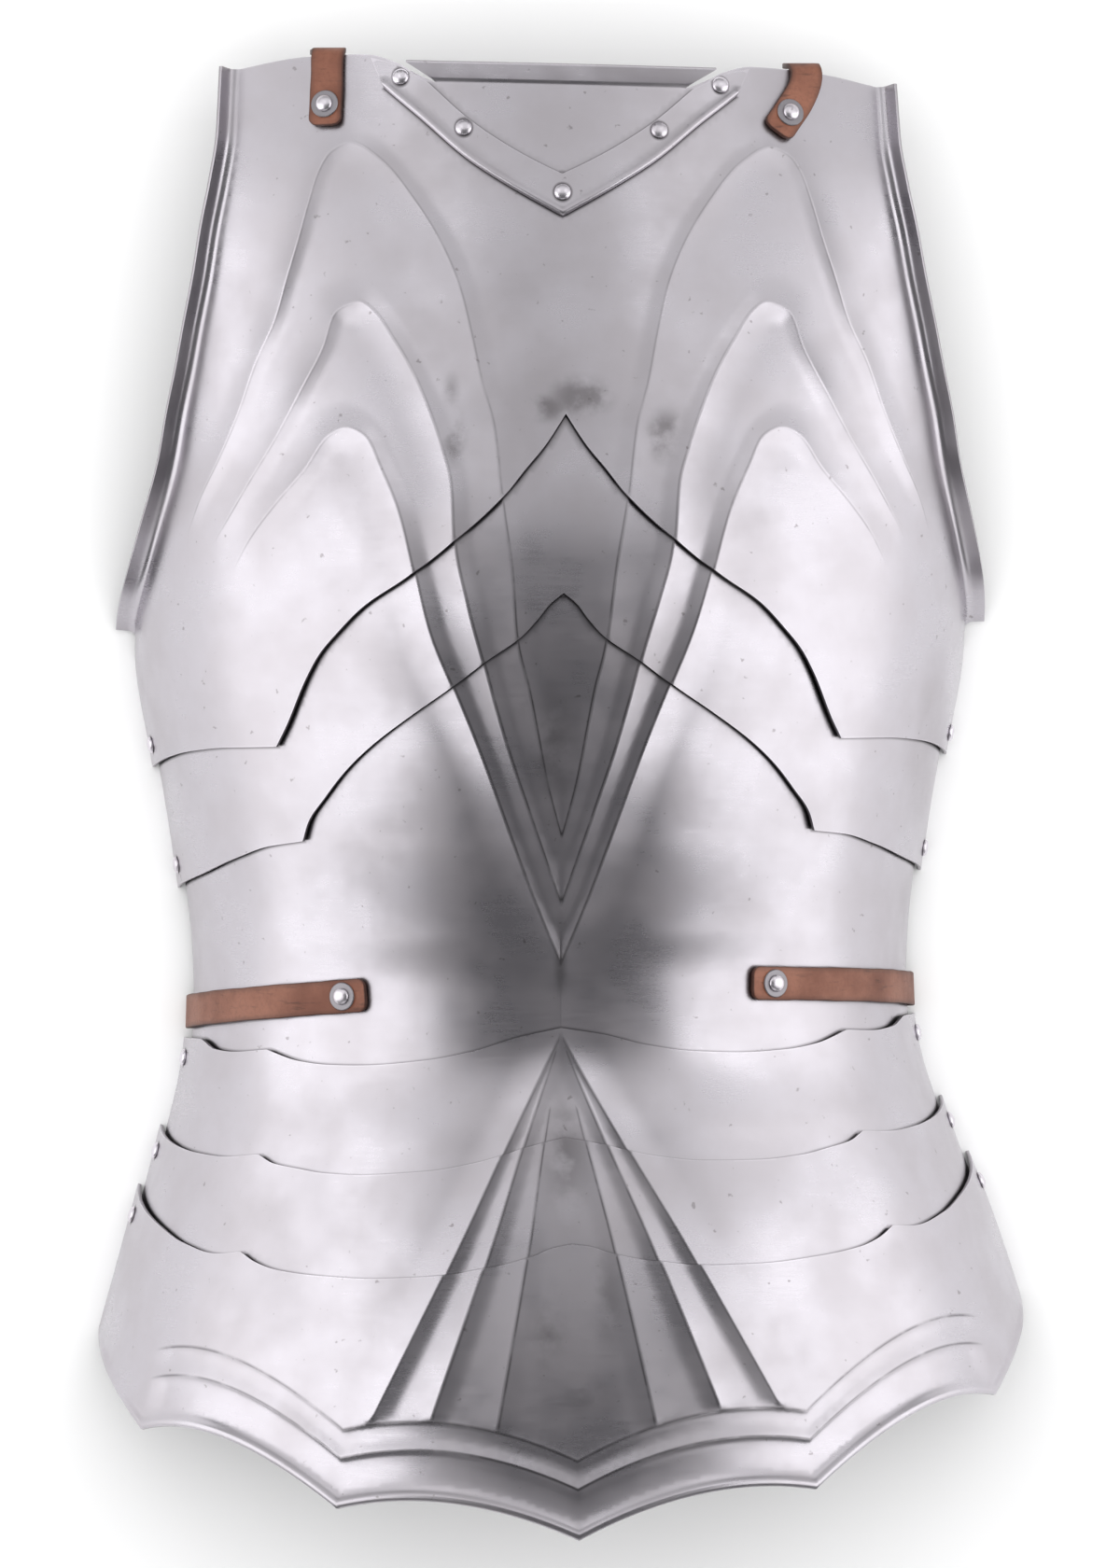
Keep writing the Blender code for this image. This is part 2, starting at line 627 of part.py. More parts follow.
def rivet(name, angle, down, top, bottom, body):
    """A rivet through a stack of walls, from its head's seat to its inner end."""
    seat = on_body(angle, down, top + FIT_GAP)
    normal = normal_at(angle, down)
    end = bottom - PEEN - top - FIT_GAP
    dome = [(RIVET_HEAD * math.cos(t), RIVET_DOME * math.sin(t))
            for t in (0.0, 0.45, 0.95)]
    profile = [(0.0, end), (SHANK, end), (SHANK, 0.0)] + dome + [(0.0, RIVET_DOME)]
    turned(name, profile, seat, normal, BRIGHT, body)


def strap(name, path, normals, hole_at, body):
    """A flat strap along a path of underside points, with one rivet hole."""
    span = np.linalg.norm(np.diff(path, axis=0), axis=1)
    reach = np.concatenate(([0.0], np.cumsum(span))) * MILLI
    half = STRAP_WIDTH / 2 * MILLI
    low = np.stack((reach, np.full(len(reach), -half)), axis=-1)
    high = np.stack((reach[::-1], np.full(len(reach), half)), axis=-1)
    radius = (SHANK + FIT_GAP) / math.cos(math.pi / HOLE_SIDES) * MILLI
    hole = (np.array((hole_at * MILLI, 0.0)), np.array((radius, radius)))
    flat, faces, _ = triangulate(np.concatenate((low, high)), [], [hole], NO_SEEDS)
    along = np.gradient(path, axis=0)
    wide = np.cross(normals, along)
    wide /= np.linalg.norm(wide, axis=1, keepdims=True)

    def read(table):
        return np.stack([np.interp(flat[:, 0], reach, table[:, k]) for k in range(3)], axis=-1)

    under = read(path) + read(wide) * (flat[:, 1:] / MILLI)
    over = under + read(normals) * LEATHER
    shell(name, over, under, faces, HIDE, body)


def riveted_strap(side, place, angle, down, lift, path, normals, start, body):
    """A strap with the washer and rivet that hold its end to a plate."""
    name = f"{side}_{place}_strap"
    strap(name, path, normals, np.linalg.norm(start - path[0]), body)
    top = lift + STRAP_GAP + LEATHER + FIT_GAP
    seat, normal = on_body(angle, down, top), normal_at(angle, down)
    bore = (SHANK + FIT_GAP) / math.cos(math.pi / RIVET_SIDES)
    ring = [(bore, 0.0), (WASHER, 0.0), (WASHER, WASHER_THICKNESS), (bore, WASHER_THICKNESS)]
    turned(f"{name}_washer", ring, seat, normal, BRIGHT, body)
    rivet(f"{name}_rivet", angle, down, top + WASHER_THICKNESS, lift - PLATE, body)


def straightened(vector):
    """The unit vector without its sideways part."""
    flat = vector * (0, 1, 1)
    return flat / np.linalg.norm(flat)


def shoulder_strap(side, sign):
    """From the breast up over the shoulder's edge, then straight down behind it."""
    rivet_across, top_across, top = SHOULDER_STRAP_LEAN[side]
    rivet_down = SHOULDER_STRAP["rivet"]
    down = np.linspace(SHOULDER_STRAP["inner"], top, 9)
    climb = (rivet_down - down) / (rivet_down - top) * math.pi / 2
    lean = (top_across - rivet_across) * np.where(climb > 0, np.sin(climb), climb)
    angle = sign * bearing(rivet_across + lean, down)
    path = on_body(angle, down, STRAP_GAP)
    normals = normal_at(angle, down)
    rise = normals[-1]
    ahead = path[-1] - path[-2]
    ahead -= rise * (ahead @ rise)
    ahead /= np.linalg.norm(ahead)
    centre = path[-1] - rise * STRAP_BEND
    flat_rise, flat_ahead = straightened(rise), straightened(ahead)
    turn = math.atan2(flat_rise[2], -flat_ahead[2])
    for share in np.linspace(0.2, 1.0, 5):
        up = rise * (1 - share) + flat_rise * share
        on = ahead * (1 - share) + flat_ahead * share
        out = up * math.cos(turn * share) + on * math.sin(turn * share)
        out /= np.linalg.norm(out)
        path = np.vstack((path, centre + out * STRAP_BEND))
        normals = np.vstack((normals, out))
    heading = flat_ahead * math.cos(turn) - flat_rise * math.sin(turn)
    for reach in np.linspace(SHOULDER_STRAP_HANG / 6, SHOULDER_STRAP_HANG, 6):
        path = np.vstack((path, centre + normals[-1] * STRAP_BEND + heading * reach))
        normals = np.vstack((normals, normals[-1]))
    rivet_angle = sign * float(bearing(rivet_across, rivet_down))
    start = on_body(rivet_angle, rivet_down, STRAP_GAP)
    riveted_strap(side, "shoulder", rivet_angle, rivet_down, 0.0, path, normals, start, "chest")


def waist_strap(side, sign):
    """Round the side of the waist, under the plate's back edge and inwards."""
    first = float(bearing(WAIST_STRAP["inner"], WAIST_STRAP["down"]))
    last = math.acos(SIDE_LIFT / (float(form(WAIST_STRAP["down"])[1]) + WAIST_LIFT))

    def drop(angle):
        return WAIST_STRAP["down"] + WAIST_STRAP["drop"] * (angle - first) / (last - first)

    angle = np.linspace(first, last, 18)
    path = on_body(sign * angle, drop(angle), WAIST_LIFT + STRAP_GAP)
    normals = normal_at(sign * angle, drop(angle))
    edge = path[-1]
    outward = np.array((float(sign), 0.0, 0.0))
    upward = np.array((0.0, 0.0, 1.0))
    bend = edge[2] - LEATHER - FIT_GAP
    centre = edge - outward * bend
    for t in np.linspace(0.25, 1.0, 4) * math.pi / 2:
        out = outward * math.cos(t) - upward * math.sin(t)
        path = np.vstack((path, centre + out * bend))
        normals = np.vstack((normals, out))
    flat_end = path[-1]
    for reach in np.linspace(WAIST_STRAP_RETURN / 5, WAIST_STRAP_RETURN, 5):
        path = np.vstack((path, flat_end - outward * reach))
        normals = np.vstack((normals, -upward))
    rivet_angle = float(bearing(WAIST_STRAP["rivet"], WAIST_STRAP["down"]))
    start = on_body(sign * rivet_angle, drop(rivet_angle), WAIST_LIFT + STRAP_GAP)
    riveted_strap(side, "waist", sign * rivet_angle, drop(rivet_angle), WAIST_LIFT, path,
                  normals, start, "waist")


def side_rivets(place, lift, under, body):
    """The pair of rivets that a lame turns on."""
    for side, sign in SIDES:
        rivet(f"{side}_{place}_rivet", sign * HINGE_BEARING, SIDE_RIVETS[place], lift,
              under - PLATE, body)


def side_holes(*places):
    """Holes for pairs of side rivets."""
    return [(sign * HINGE_BEARING, SIDE_RIVETS[place]) for place in places for _, sign in SIDES]


def flute_lines(flutes):
    """Sheet lines of the crests and of their flanks, on both sides."""
    lines = []
    for flute in flutes:
        ahead = np.gradient(flute.line, axis=0)
        square = np.stack((-ahead[:, 1], ahead[:, 0]), axis=-1)
        square /= np.linalg.norm(square, axis=1, keepdims=True)
        for offset in (0, SHORT_FLANK, -SHORT_FLANK):
            row = flute.line + square * offset * MILLI
            row = row[row[:, 0] > (LEAST_EDGE if offset else -LEAST_EDGE)]
            if len(row) > 1:
                lines += [row, mirrored(row)]
    return lines


def border_lines():
    """Sheet lines along the steps of the hem's border."""
    hem = hem_edge()
    return [across_body(moved(hem, height / MILLI)) for height, _ in HEM_PROFILE[1:-1]]


def ring(bottom, top):
    """A closed outline from a bottom edge and a top edge, each left to right."""
    left = resample((top[0], bottom[0]), EDGE_STEP * MILLI)[1:-1]
    right = resample((bottom[-1], top[-1]), EDGE_STEP * MILLI)[1:-1]
    return np.concatenate((bottom, right, top[::-1], left))


def trimmed(curve, lift):
    """The curve cut off where the plate's back edge lies at SIDE_LIFT."""
    down = -curve[-1, 1] / MILLI / LENGTH
    limit = math.acos(SIDE_LIFT / (float(form(down)[1]) + lift)) * HALF_CHEST * MILLI
    height = np.interp((-limit, limit), curve[:, 0], curve[:, 1])
    kept = curve[np.abs(curve[:, 0]) < limit - LINE_CLEAR]
    return np.concatenate((((-limit, height[0]),), kept, ((limit, height[1]),)))


def breastplate():
    """The chest plate, with its turned-out neck edge and arm flanges."""
    bottom = across_body(half_edge(BREAST_POINT, BREAST_SIDE))
    hole_across, hole_down = np.array(ARMHOLE).T
    arm = to_sheet(hole_across, hole_down)
    depth = float(form(hole_down[-1])[1])
    arm[-1, 0] = math.acos(ARM_FLANGE_END / depth) * HALF_CHEST * MILLI
    arm = resample(arm, EDGE_STEP * MILLI)[::-1]
    shoulder = half_edge((NECK_CORNER,) + SHOULDER)[::-1]
    corner = to_sheet(*NECK_CORNER)
    neck = resample((corner, mirrored(corner)), EDGE_STEP * MILLI)
    foot = np.array((bottom[-1, 0], -SIDE_FOOT * LENGTH * MILLI))
    side = resample((bottom[-1], foot), EDGE_STEP * MILLI)[1:]
    parts = [bottom, side, arm, shoulder[1:-1], neck, mirrored(shoulder[1:-1])[::-1],
             mirrored(arm)[::-1], mirrored(side)[::-1]]
    starts = np.cumsum([0] + [len(part) for part in parts])
    arm_size = (ARM_FLANGE_RADIUS, ARM_FLANGE_HEIGHT, ARM_FLANGE_TURN)
    neck_size = (NECK_FLANGE_RADIUS, NECK_FLANGE_HEIGHT, NECK_FLANGE_TURN)
    flanges = (
        (starts[2], starts[3] - 1, arm_size, 0.0),
        (starts[4], starts[5] - 1, neck_size, NECK_FLARE),
        (starts[6], starts[7] - 1, arm_size, 0.0),
    )
    holes = side_holes("breast")
    for side, sign in SIDES:
        for across, down in BAND_RIVETS:
            if across or sign > 0:
                holes.append((sign * float(bearing(across, down)), down))
        across, down = SHOULDER_STRAP_LEAN[side][0], SHOULDER_STRAP["rivet"]
        holes.append((sign * float(bearing(across, down)), down))
    plate("breastplate", np.concatenate(parts), CHEST_LIFT, fluting(CHEST_FLUTES),
          flute_lines(CHEST_FLUTES), holes, "chest", flanges)


def neck_band():
    """The riveted band in a deep point below the neck edge."""
    lift = CHEST_LIFT + FIT_GAP + BAND
    inner = half_edge(BAND_INNER)
    top = half_edge((BAND_INNER[-1],) + BAND_TOP)[1:]
    outer = half_edge(BAND_OUTER)
    end = resample((outer[-1], top[-1]), EDGE_STEP * MILLI / 2)[1:]
    below = np.concatenate((outer, end))
    above = np.concatenate((inner, top[:-1]))
    outline = np.concatenate((across_body(below), above[::-1], mirrored(above[1:])))
    holes = []
    number = 0
    for across, down in BAND_RIVETS:
        for sign in (1, -1) if across else (1,):
            number += 1
            angle = sign * float(bearing(across, down))
            holes.append((angle, down))
            rivet(f"neck_rivet_{number}", angle, down, lift, CHEST_LIFT - PLATE, "chest")
    bead = across_body(moved(outer, BAND_BEAD_WIDTH * 0.9))
    plate("neck_band", outline, lift, band_relief, [bead], holes, "chest", wall=BAND)


def lames():
    """The two pointed plates below the chest and the three plates of the fauld."""
    breast = across_body(half_edge(BREAST_POINT, BREAST_SIDE))
    lame = across_body(half_edge(LAME_POINT, LAME_SIDE))
    tops = [across_body(half_edge(point, side)) for point, side in (
        (FAULD_1_POINT, FAULD_1_SIDE), (FAULD_2_POINT, FAULD_2_SIDE),
        (FAULD_3_POINT, FAULD_3_SIDE))]
    hem = across_body(hem_edge())
    chest_lines, fauld_lines = flute_lines(CHEST_FLUTES), flute_lines(FAULD_FLUTES)
    plate("upper_lame", ring(lame, moved(breast, OVERLAP)), LAME_LIFT,
          fluting(CHEST_FLUTES), chest_lines, side_holes("breast", "lame"), "lame")
    waist_holes = side_holes("lame", "fauld_1")
    down = WAIST_STRAP["down"]
    angle = float(bearing(WAIST_STRAP["rivet"], down))
    first = float(bearing(WAIST_STRAP["inner"], down))
    last = math.acos(SIDE_LIFT / (float(form(down)[1]) + WAIST_LIFT))
    down += WAIST_STRAP["drop"] * (angle - first) / (last - first)
    waist_holes += [(sign * angle, down) for _, sign in SIDES]
    plate("waist_plate", ring(trimmed(moved(tops[0], -WAIST_SKIRT), WAIST_LIFT),
                              trimmed(moved(lame, OVERLAP), WAIST_LIFT)), WAIST_LIFT,
          fluting(CHEST_FLUTES), chest_lines, waist_holes, "waist")
    plate("fauld_lame_1", ring(moved(tops[1], -OVERLAP), tops[0]), FAULD_LIFTS[0],
          fluting(FAULD_FLUTES), fauld_lines, side_holes("fauld_1", "fauld_2"), "fauld_1")
    plate("fauld_lame_2", ring(moved(tops[2], -OVERLAP), tops[1]), FAULD_LIFTS[1],
          fluting(FAULD_FLUTES), fauld_lines, side_holes("fauld_2", "fauld_3"), "fauld_2")
    plate("fauld_lame_3", ring(hem, tops[2]), FAULD_LIFTS[2], hem_relief,
          fauld_lines + border_lines(), side_holes("fauld_3"), "fauld_3")


def hinge_middle(place, lift):
    """The middle of the line through a pair of side rivets."""
    ends = [on_body(sign * HINGE_BEARING, SIDE_RIVETS[place], lift) for _, sign in SIDES]
    return (ends[0] + ends[1]) / 2


def add_pivots():
    """Empties on the hinge lines, each under the one before it."""
    parent = None
    for body, pivot in PIVOTS.items():
        empty = bpy.data.objects.new(body + "_pivot", None)
        empty.empty_display_size = 0.02
        bpy.context.collection.objects.link(empty)
        empty.location = pivot
        if parent:
            empty.parent = bpy.data.objects[parent + "_pivot"]
            empty.location = Vector(pivot) - Vector(PIVOTS[parent])
        parent = body


def stand_on_origin():
    """Move the whole cuirass so its box stands on the origin."""
    bpy.context.view_layer.update()
    points = [obj.matrix_world @ Vector(corner) for obj in bpy.data.objects
              if obj.type == "MESH" for corner in obj.bound_box]
    low = [min(point[k] for point in points) for k in range(3)]
    high = [max(point[k] for point in points) for k in range(3)]
    middle = Vector(((low[0] + high[0]) / 2, (low[1] + high[1]) / 2, low[2]))
    bpy.data.objects["chest_pivot"].location -= middle


STEP_IN = PLATE + PLATE_GAP
CHEST_LIFT = 0.0
LAME_LIFT = CHEST_LIFT - STEP_IN
WAIST_LIFT = LAME_LIFT - STEP_IN
FAULD_LIFTS = (WAIST_LIFT + STEP_IN, WAIST_LIFT + 2 * STEP_IN, WAIST_LIFT + 3 * STEP_IN)
SIDES = (("right", 1), ("left", -1))
SIDE_RIVETS = {place: side_rivet_height(place) for place in SIDE_EDGES}
PIVOTS = {
    "chest": (0.0, 0.0, 0.0),
    "lame": tuple(hinge_middle("breast", LAME_LIFT)),
    "waist": tuple(hinge_middle("lame", WAIST_LIFT)),
    "fauld_1": tuple(hinge_middle("fauld_1", FAULD_LIFTS[0])),
    "fauld_2": tuple(hinge_middle("fauld_2", FAULD_LIFTS[1])),
    "fauld_3": tuple(hinge_middle("fauld_3", FAULD_LIFTS[2])),
}

for old in list(bpy.data.objects):
    bpy.data.objects.remove(old)
add_pivots()
breastplate()
neck_band()
lames()
side_rivets("breast", CHEST_LIFT, LAME_LIFT, "chest")
side_rivets("lame", LAME_LIFT, WAIST_LIFT, "lame")
side_rivets("fauld_1", FAULD_LIFTS[0], WAIST_LIFT, "fauld_1")
side_rivets("fauld_2", FAULD_LIFTS[1], FAULD_LIFTS[0], "fauld_2")
side_rivets("fauld_3", FAULD_LIFTS[2], FAULD_LIFTS[1], "fauld_3")
for side_name, side_sign in SIDES:
    shoulder_strap(side_name, side_sign)
    waist_strap(side_name, side_sign)
stand_on_origin()
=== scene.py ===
"""The looks of a steel cuirass breastplate: fine fluted plates, domed rivets and
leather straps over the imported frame, with studio light and the camera.

Metres. The body form and its tables repeat those of the model: heights are shares of
LENGTH, measured down from the shoulders, and distances from the middle are shares of
HALF_CHEST. A sheet is the body form rolled flat, in millimetres.
"""
import json
import math

import bmesh
import bpy
import numpy as np
from mathutils import Euler, Matrix, Vector
from mathutils.geometry import delaunay_2d_cdt


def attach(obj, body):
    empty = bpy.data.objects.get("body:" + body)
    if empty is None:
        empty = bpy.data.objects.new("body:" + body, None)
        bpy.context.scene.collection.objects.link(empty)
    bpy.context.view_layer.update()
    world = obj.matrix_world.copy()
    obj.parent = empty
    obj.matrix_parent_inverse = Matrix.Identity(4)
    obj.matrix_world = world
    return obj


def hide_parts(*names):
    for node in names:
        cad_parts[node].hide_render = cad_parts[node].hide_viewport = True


# Sizes of the model
LENGTH = 0.672
HALF_CHEST = 0.189
CHEST_DEPTH = 0.157
PLATE = 0.0015
PLATE_GAP = 0.0016
FIT_GAP = 0.0003
OVERLAP = 0.021
WAIST_SKIRT = 0.021
ARM_FLANGE_RADIUS = 0.004
ARM_FLANGE_HEIGHT = 0.0085
ARM_FLANGE_TURN = math.radians(84)
ARM_FLANGE_END = 0.0065
SIDE_FOOT = 0.407
NECK_FLANGE_RADIUS = 0.003
NECK_FLANGE_HEIGHT = 0.0072
NECK_FLANGE_TURN = math.radians(52)
NECK_FLARE = 0.0135
BAND = 0.0016
BAND_BEAD = 0.0010
BAND_BEAD_WIDTH = 0.0032
RIDGE_HEIGHT = 0.0020
RIVET_HEAD = 0.0038
RIVET_DOME = 0.0021
RIVET_INSET = 0.0085
SHANK = 0.0017
PEEN = 0.0006
LEATHER = 0.0026
STRAP_WIDTH = 0.0150
STRAP_GAP = 0.0011
STRAP_BEND = 0.0026
SHOULDER_STRAP_HANG = 0.045
WAIST_STRAP_RETURN = 0.040
WASHER = 0.0063
WASHER_THICKNESS = 0.0010
SIDE_LIFT = 0.0085
HINGE_BEARING = math.radians(84.0)

# Finish of the small pieces, in metres
RIVET_LIP = 0.0004
SHANK_END = 0.8
SEAT_WIDTH = 0.94
STRAP_SOFT = 0.0006
STRAP_STEP = 0.0012
STRAP_CORNER = 0.0035
STRAP_END = 0.93
STRAP_WAVES = ((0.012, 160.0, 0.0), (0.008, 410.0, 1.0))
STRAP_EDGE_POWER = 8
NECK_EASE = 0.0160

# Crests, creases, seams and rims, in millimetres on the sheet
SHORT_FLANK = 7.5
LONG_FLANK = 16.0
SHORT_POWER = 1.3
LONG_POWER = 2.0
CLIMB_GAIN = 1.4
CLIMB_BLUR = 7
CREASE = 0.7
CREASE_FADE = ((0.25, 0.42), (0.35, 1.0))
# Strength of the painted shade along the hem border's steps
HEM_CREASE_SHADE = 0.8
HEM_EASE = 3.0
SEAM = 1.5
HEAD_RING = 1.2
RIM_REACH = 1.1

# Fineness of the visible meshes, with lengths in millimetres on the sheet
STRAP_COLUMNS = 7
TURNED_SIDES = 32
DOME_ROWS = 8
FLANGE_ROWS = 6
FLAT_ROWS = 3
FAN_ROWS = 6
RING_POINTS = 28
SEED_STEP = 2.3
SEED_CLEAR = 0.5
LINE_STEP = 2.0
CREST_ROW = 0.7
MIDDLE_CLEAR = 0.3
SEED_ROW = 0.87
LEAST_EDGE = 0.4
PLATE_CORNER = math.radians(50)
TURNED_CORNER = math.radians(40)
MILLI = 1000.0

FORM_COLUMNS = ("down", "half_width", "depth", "turn", "sideways")
FORM = np.array((
    (0.000, 0.963, 0.573, -2.0, 0.005),
    (0.094, 0.979, 0.713, -0.3, 0.005),
    (0.175, 0.988, 0.809, 0.0, 0.007),
    (0.250, 0.995, 0.892, 0.1, 0.008),
    (0.344, 0.995, 0.975, 0.5, 0.003),
    (0.406, 0.989, 1.000, 0.7, -0.003),
    (0.469, 0.953, 0.994, 0.9, -0.003),
    (0.531, 0.917, 0.962, 1.2, -0.003),
    (0.594, 0.889, 0.911, 1.5, -0.003),
    (0.631, 0.884, 0.886, 1.7, -0.003),
    (0.663, 0.892, 0.893, 1.9, -0.003),
    (0.729, 0.951, 0.962, 2.2, 0.003),
    (0.800, 1.032, 1.045, 2.3, 0.016),
    (0.875, 1.110, 1.121, 2.3, 0.022),
    (0.944, 1.166, 1.172, 2.3, 0.026),
    (1.000, 1.206, 1.212, 2.3, 0.029),
))

# Edges of the plates from the middle outwards: (across, down)
BREAST_POINT = (
    (0.000, 0.247), (0.049, 0.268), (0.096, 0.284), (0.147, 0.302), (0.260, 0.331),
    (0.360, 0.353), (0.471, 0.374), (0.533, 0.392), (0.571, 0.405), (0.602, 0.421),
    (0.644, 0.450), (0.671, 0.466),
)
BREAST_SIDE = ((0.671, 0.466), (0.780, 0.466), (0.867, 0.468), (0.944, 0.476), (1.2, 0.478))
LAME_POINT = (
    (0.000, 0.366), (0.031, 0.373), (0.062, 0.384), (0.102, 0.396), (0.180, 0.411),
    (0.262, 0.428), (0.362, 0.447), (0.462, 0.468), (0.520, 0.484), (0.567, 0.501),
    (0.604, 0.516), (0.618, 0.529),
)
LAME_SIDE = ((0.618, 0.529), (0.700, 0.532), (0.773, 0.539), (0.860, 0.550), (1.2, 0.558))
FAULD_1_POINT = (
    (0.000, 0.656), (0.100, 0.661), (0.209, 0.669), (0.324, 0.674), (0.458, 0.676),
    (0.551, 0.675), (0.624, 0.672), (0.702, 0.664),
)
FAULD_1_SIDE = ((0.702, 0.664), (0.769, 0.665), (0.822, 0.663), (0.856, 0.656), (1.2, 0.655))
FAULD_2_POINT = (
    (0.000, 0.729), (0.093, 0.735), (0.167, 0.741), (0.222, 0.744), (0.329, 0.748),
    (0.467, 0.749), (0.564, 0.747), (0.633, 0.743), (0.687, 0.739), (0.718, 0.733),
)
FAULD_2_SIDE = ((0.718, 0.733), (0.787, 0.734), (0.856, 0.731), (0.896, 0.727), (1.2, 0.712))
FAULD_3_POINT = (
    (0.000, 0.801), (0.044, 0.803), (0.091, 0.808), (0.147, 0.812), (0.229, 0.816),
    (0.329, 0.819), (0.442, 0.819), (0.578, 0.816), (0.682, 0.811), (0.733, 0.805),
    (0.764, 0.798),
)
FAULD_3_SIDE = ((0.764, 0.798), (0.811, 0.799), (0.893, 0.791), (0.940, 0.780), (1.2, 0.752))
# Points of the hem: (across, down, arch to the next one)
HEM = ((0.00, 0.997, 0.0140), (0.56, 0.970, 0.0200), (1.00, 0.914, 0.0060), (1.20, 0.846, 0.0))
NECK_CORNER = (0.295, 0.0275)
SHOULDER = ((0.350, 0.021), (0.390, 0.015), (0.455, 0.0105), (0.600, 0.013), (0.756, 0.0215))
ARMHOLE = (
    (0.756, 0.0215), (0.764, 0.062), (0.782, 0.094), (0.804, 0.125), (0.822, 0.156),
    (0.844, 0.188), (0.864, 0.219), (0.886, 0.250), (0.904, 0.281), (0.938, 0.319),
    (0.971, 0.356), (0.991, 0.392),
)
BAND_INNER = ((0.000, 0.0875), (0.049, 0.081), (0.133, 0.068), (0.222, 0.051), (0.311, 0.029))
BAND_TOP = ((0.350, 0.023), (0.388, 0.0172), (0.448, 0.013))
BAND_OUTER = ((0.000, 0.1155), (0.111, 0.098), (0.222, 0.078), (0.333, 0.0515), (0.418, 0.032))
BAND_RIVETS = ((0.378, 0.0252), (0.231, 0.0575), (0.000, 0.0998))

# Crests: (across, down, height as a share of RIDGE_HEIGHT)
CREST_1 = (
    (0.000, 0.534, 0.40), (0.038, 0.494, 0.40), (0.060, 0.462, 0.40), (0.082, 0.431, 0.40),
    (0.109, 0.400, 0.40), (0.127, 0.350, 0.40), (0.151, 0.306, 0.40), (0.171, 0.256, 0.40),
    (0.200, 0.225, 0.40), (0.222, 0.194, 0.40), (0.249, 0.162, 0.45), (0.289, 0.134, 0.50),
    (0.351, 0.105, 0.55), (0.430, 0.078, 0.55), (0.500, 0.067, 0.50), (0.545, 0.073, 0.55),
    (0.574, 0.086, 0.60), (0.597, 0.106, 0.70), (0.622, 0.131, 0.80), (0.649, 0.156, 0.90),
    (0.678, 0.184, 0.90), (0.722, 0.212, 0.90), (0.762, 0.244, 0.80), (0.809, 0.275, 0.60),
    (0.856, 0.303, 0.30), (0.884, 0.326, 0.00),
)
CREST_2 = (
    (0.000, 0.578, 0.60), (0.027, 0.556, 0.60), (0.082, 0.512, 0.60), (0.127, 0.475, 0.60),
    (0.160, 0.444, 0.65), (0.187, 0.416, 0.65), (0.231, 0.372, 0.70), (0.262, 0.334, 0.70),
    (0.271, 0.294, 0.70), (0.293, 0.269, 0.70), (0.327, 0.241, 0.65), (0.360, 0.219, 0.60),
    (0.404, 0.197, 0.55), (0.449, 0.178, 0.50), (0.482, 0.172, 0.50), (0.538, 0.179, 0.60),
    (0.569, 0.203, 0.70), (0.620, 0.231, 0.80), (0.678, 0.262, 0.75), (0.740, 0.291, 0.60),
    (0.784, 0.312, 0.30), (0.824, 0.331, 0.00),
)
CREST_3 = (
    (0.000, 0.616, 0.75), (0.071, 0.569, 0.75), (0.138, 0.519, 0.75), (0.204, 0.469, 0.75),
    (0.260, 0.431, 0.75), (0.318, 0.391, 0.75), (0.356, 0.352, 0.70), (0.393, 0.312, 0.65),
    (0.438, 0.281, 0.55), (0.471, 0.262, 0.50), (0.516, 0.256, 0.50), (0.556, 0.261, 0.55),
    (0.613, 0.284, 0.65), (0.680, 0.306, 0.55), (0.738, 0.328, 0.30), (0.778, 0.349, 0.00),
)
KEEL = ((0.000, 0.600, 0.0), (0.000, 0.640, 0.35), (0.000, 0.700, 0.35))
FAN_TOP = 0.659
FAN_END = 0.925
# Strength of the painted shade along each fan crest's crease
FAN_CREASE_SHADE = (0.8, 0.6, 0.4)
FANS = ((0.20, 0.050, 0.4), (0.375, 0.012, 0.6), (0.53, 0.002, 0.7))
HEM_PROFILE = (
    (0.0, 0.5), (0.8, 1.05), (2.0, 1.3), (3.2, 1.0), (4.3, 0.2), (6.0, -0.45), (11.0, -1.0),
    (17.0, -1.25), (19.6, -1.15), (21.6, -0.35), (22.5, 0.15), (23.4, 0.05), (27.0, -0.5),
    (30.5, -0.8), (32.6, -0.75), (34.2, -0.25), (35.0, 0.12), (36.2, 0.0), (40.0, 0.0),
)
HEM_CREASES = (22.5, 35.0)
HEM_RIM_ROW = 4
COVE_FADE = (math.radians(57.6), math.radians(61.2))
RIM_FADE = (math.radians(76.0), math.radians(85.0))
# The side rivets sit RIVET_INSET inside the side edges of their plates: up from a
# lower edge (-1) or down from an upper one (1).
SIDE_EDGES = {
    "breast": (BREAST_SIDE, -1), "lame": (LAME_SIDE, -1), "fauld_1": (FAULD_1_SIDE, 1),
    "fauld_2": (FAULD_2_SIDE, 1), "fauld_3": (FAULD_3_SIDE, 1),
}
SHOULDER_STRAP = {"inner": 0.057, "rivet": 0.044}
SHOULDER_STRAP_LEAN = {"right": (0.540, 0.584, 0.0140), "left": (0.552, 0.548, 0.0134)}
WAIST_STRAP = {"inner": 0.468, "rivet": 0.520, "down": 0.6305, "drop": 0.008}

STEP_IN = PLATE + PLATE_GAP
CHEST_LIFT = 0.0
LAME_LIFT = CHEST_LIFT - STEP_IN
WAIST_LIFT = LAME_LIFT - STEP_IN
FAULD_LIFTS = (WAIST_LIFT + STEP_IN, WAIST_LIFT + 2 * STEP_IN, WAIST_LIFT + 3 * STEP_IN)
SIDES = (("right", 1), ("left", -1))

# Looks
STEEL_TONE = 0.52
STEEL_ROUGHNESS = 0.22
STEEL_BRUSH = (70.0, 900.0, 70.0)
BRIGHTEST = 0.9
RIVET_TONE = 0.74
RIVET_ROUGHNESS = 0.22
WASHER_TONE = 0.30
WASHER_ROUGHNESS = 0.34
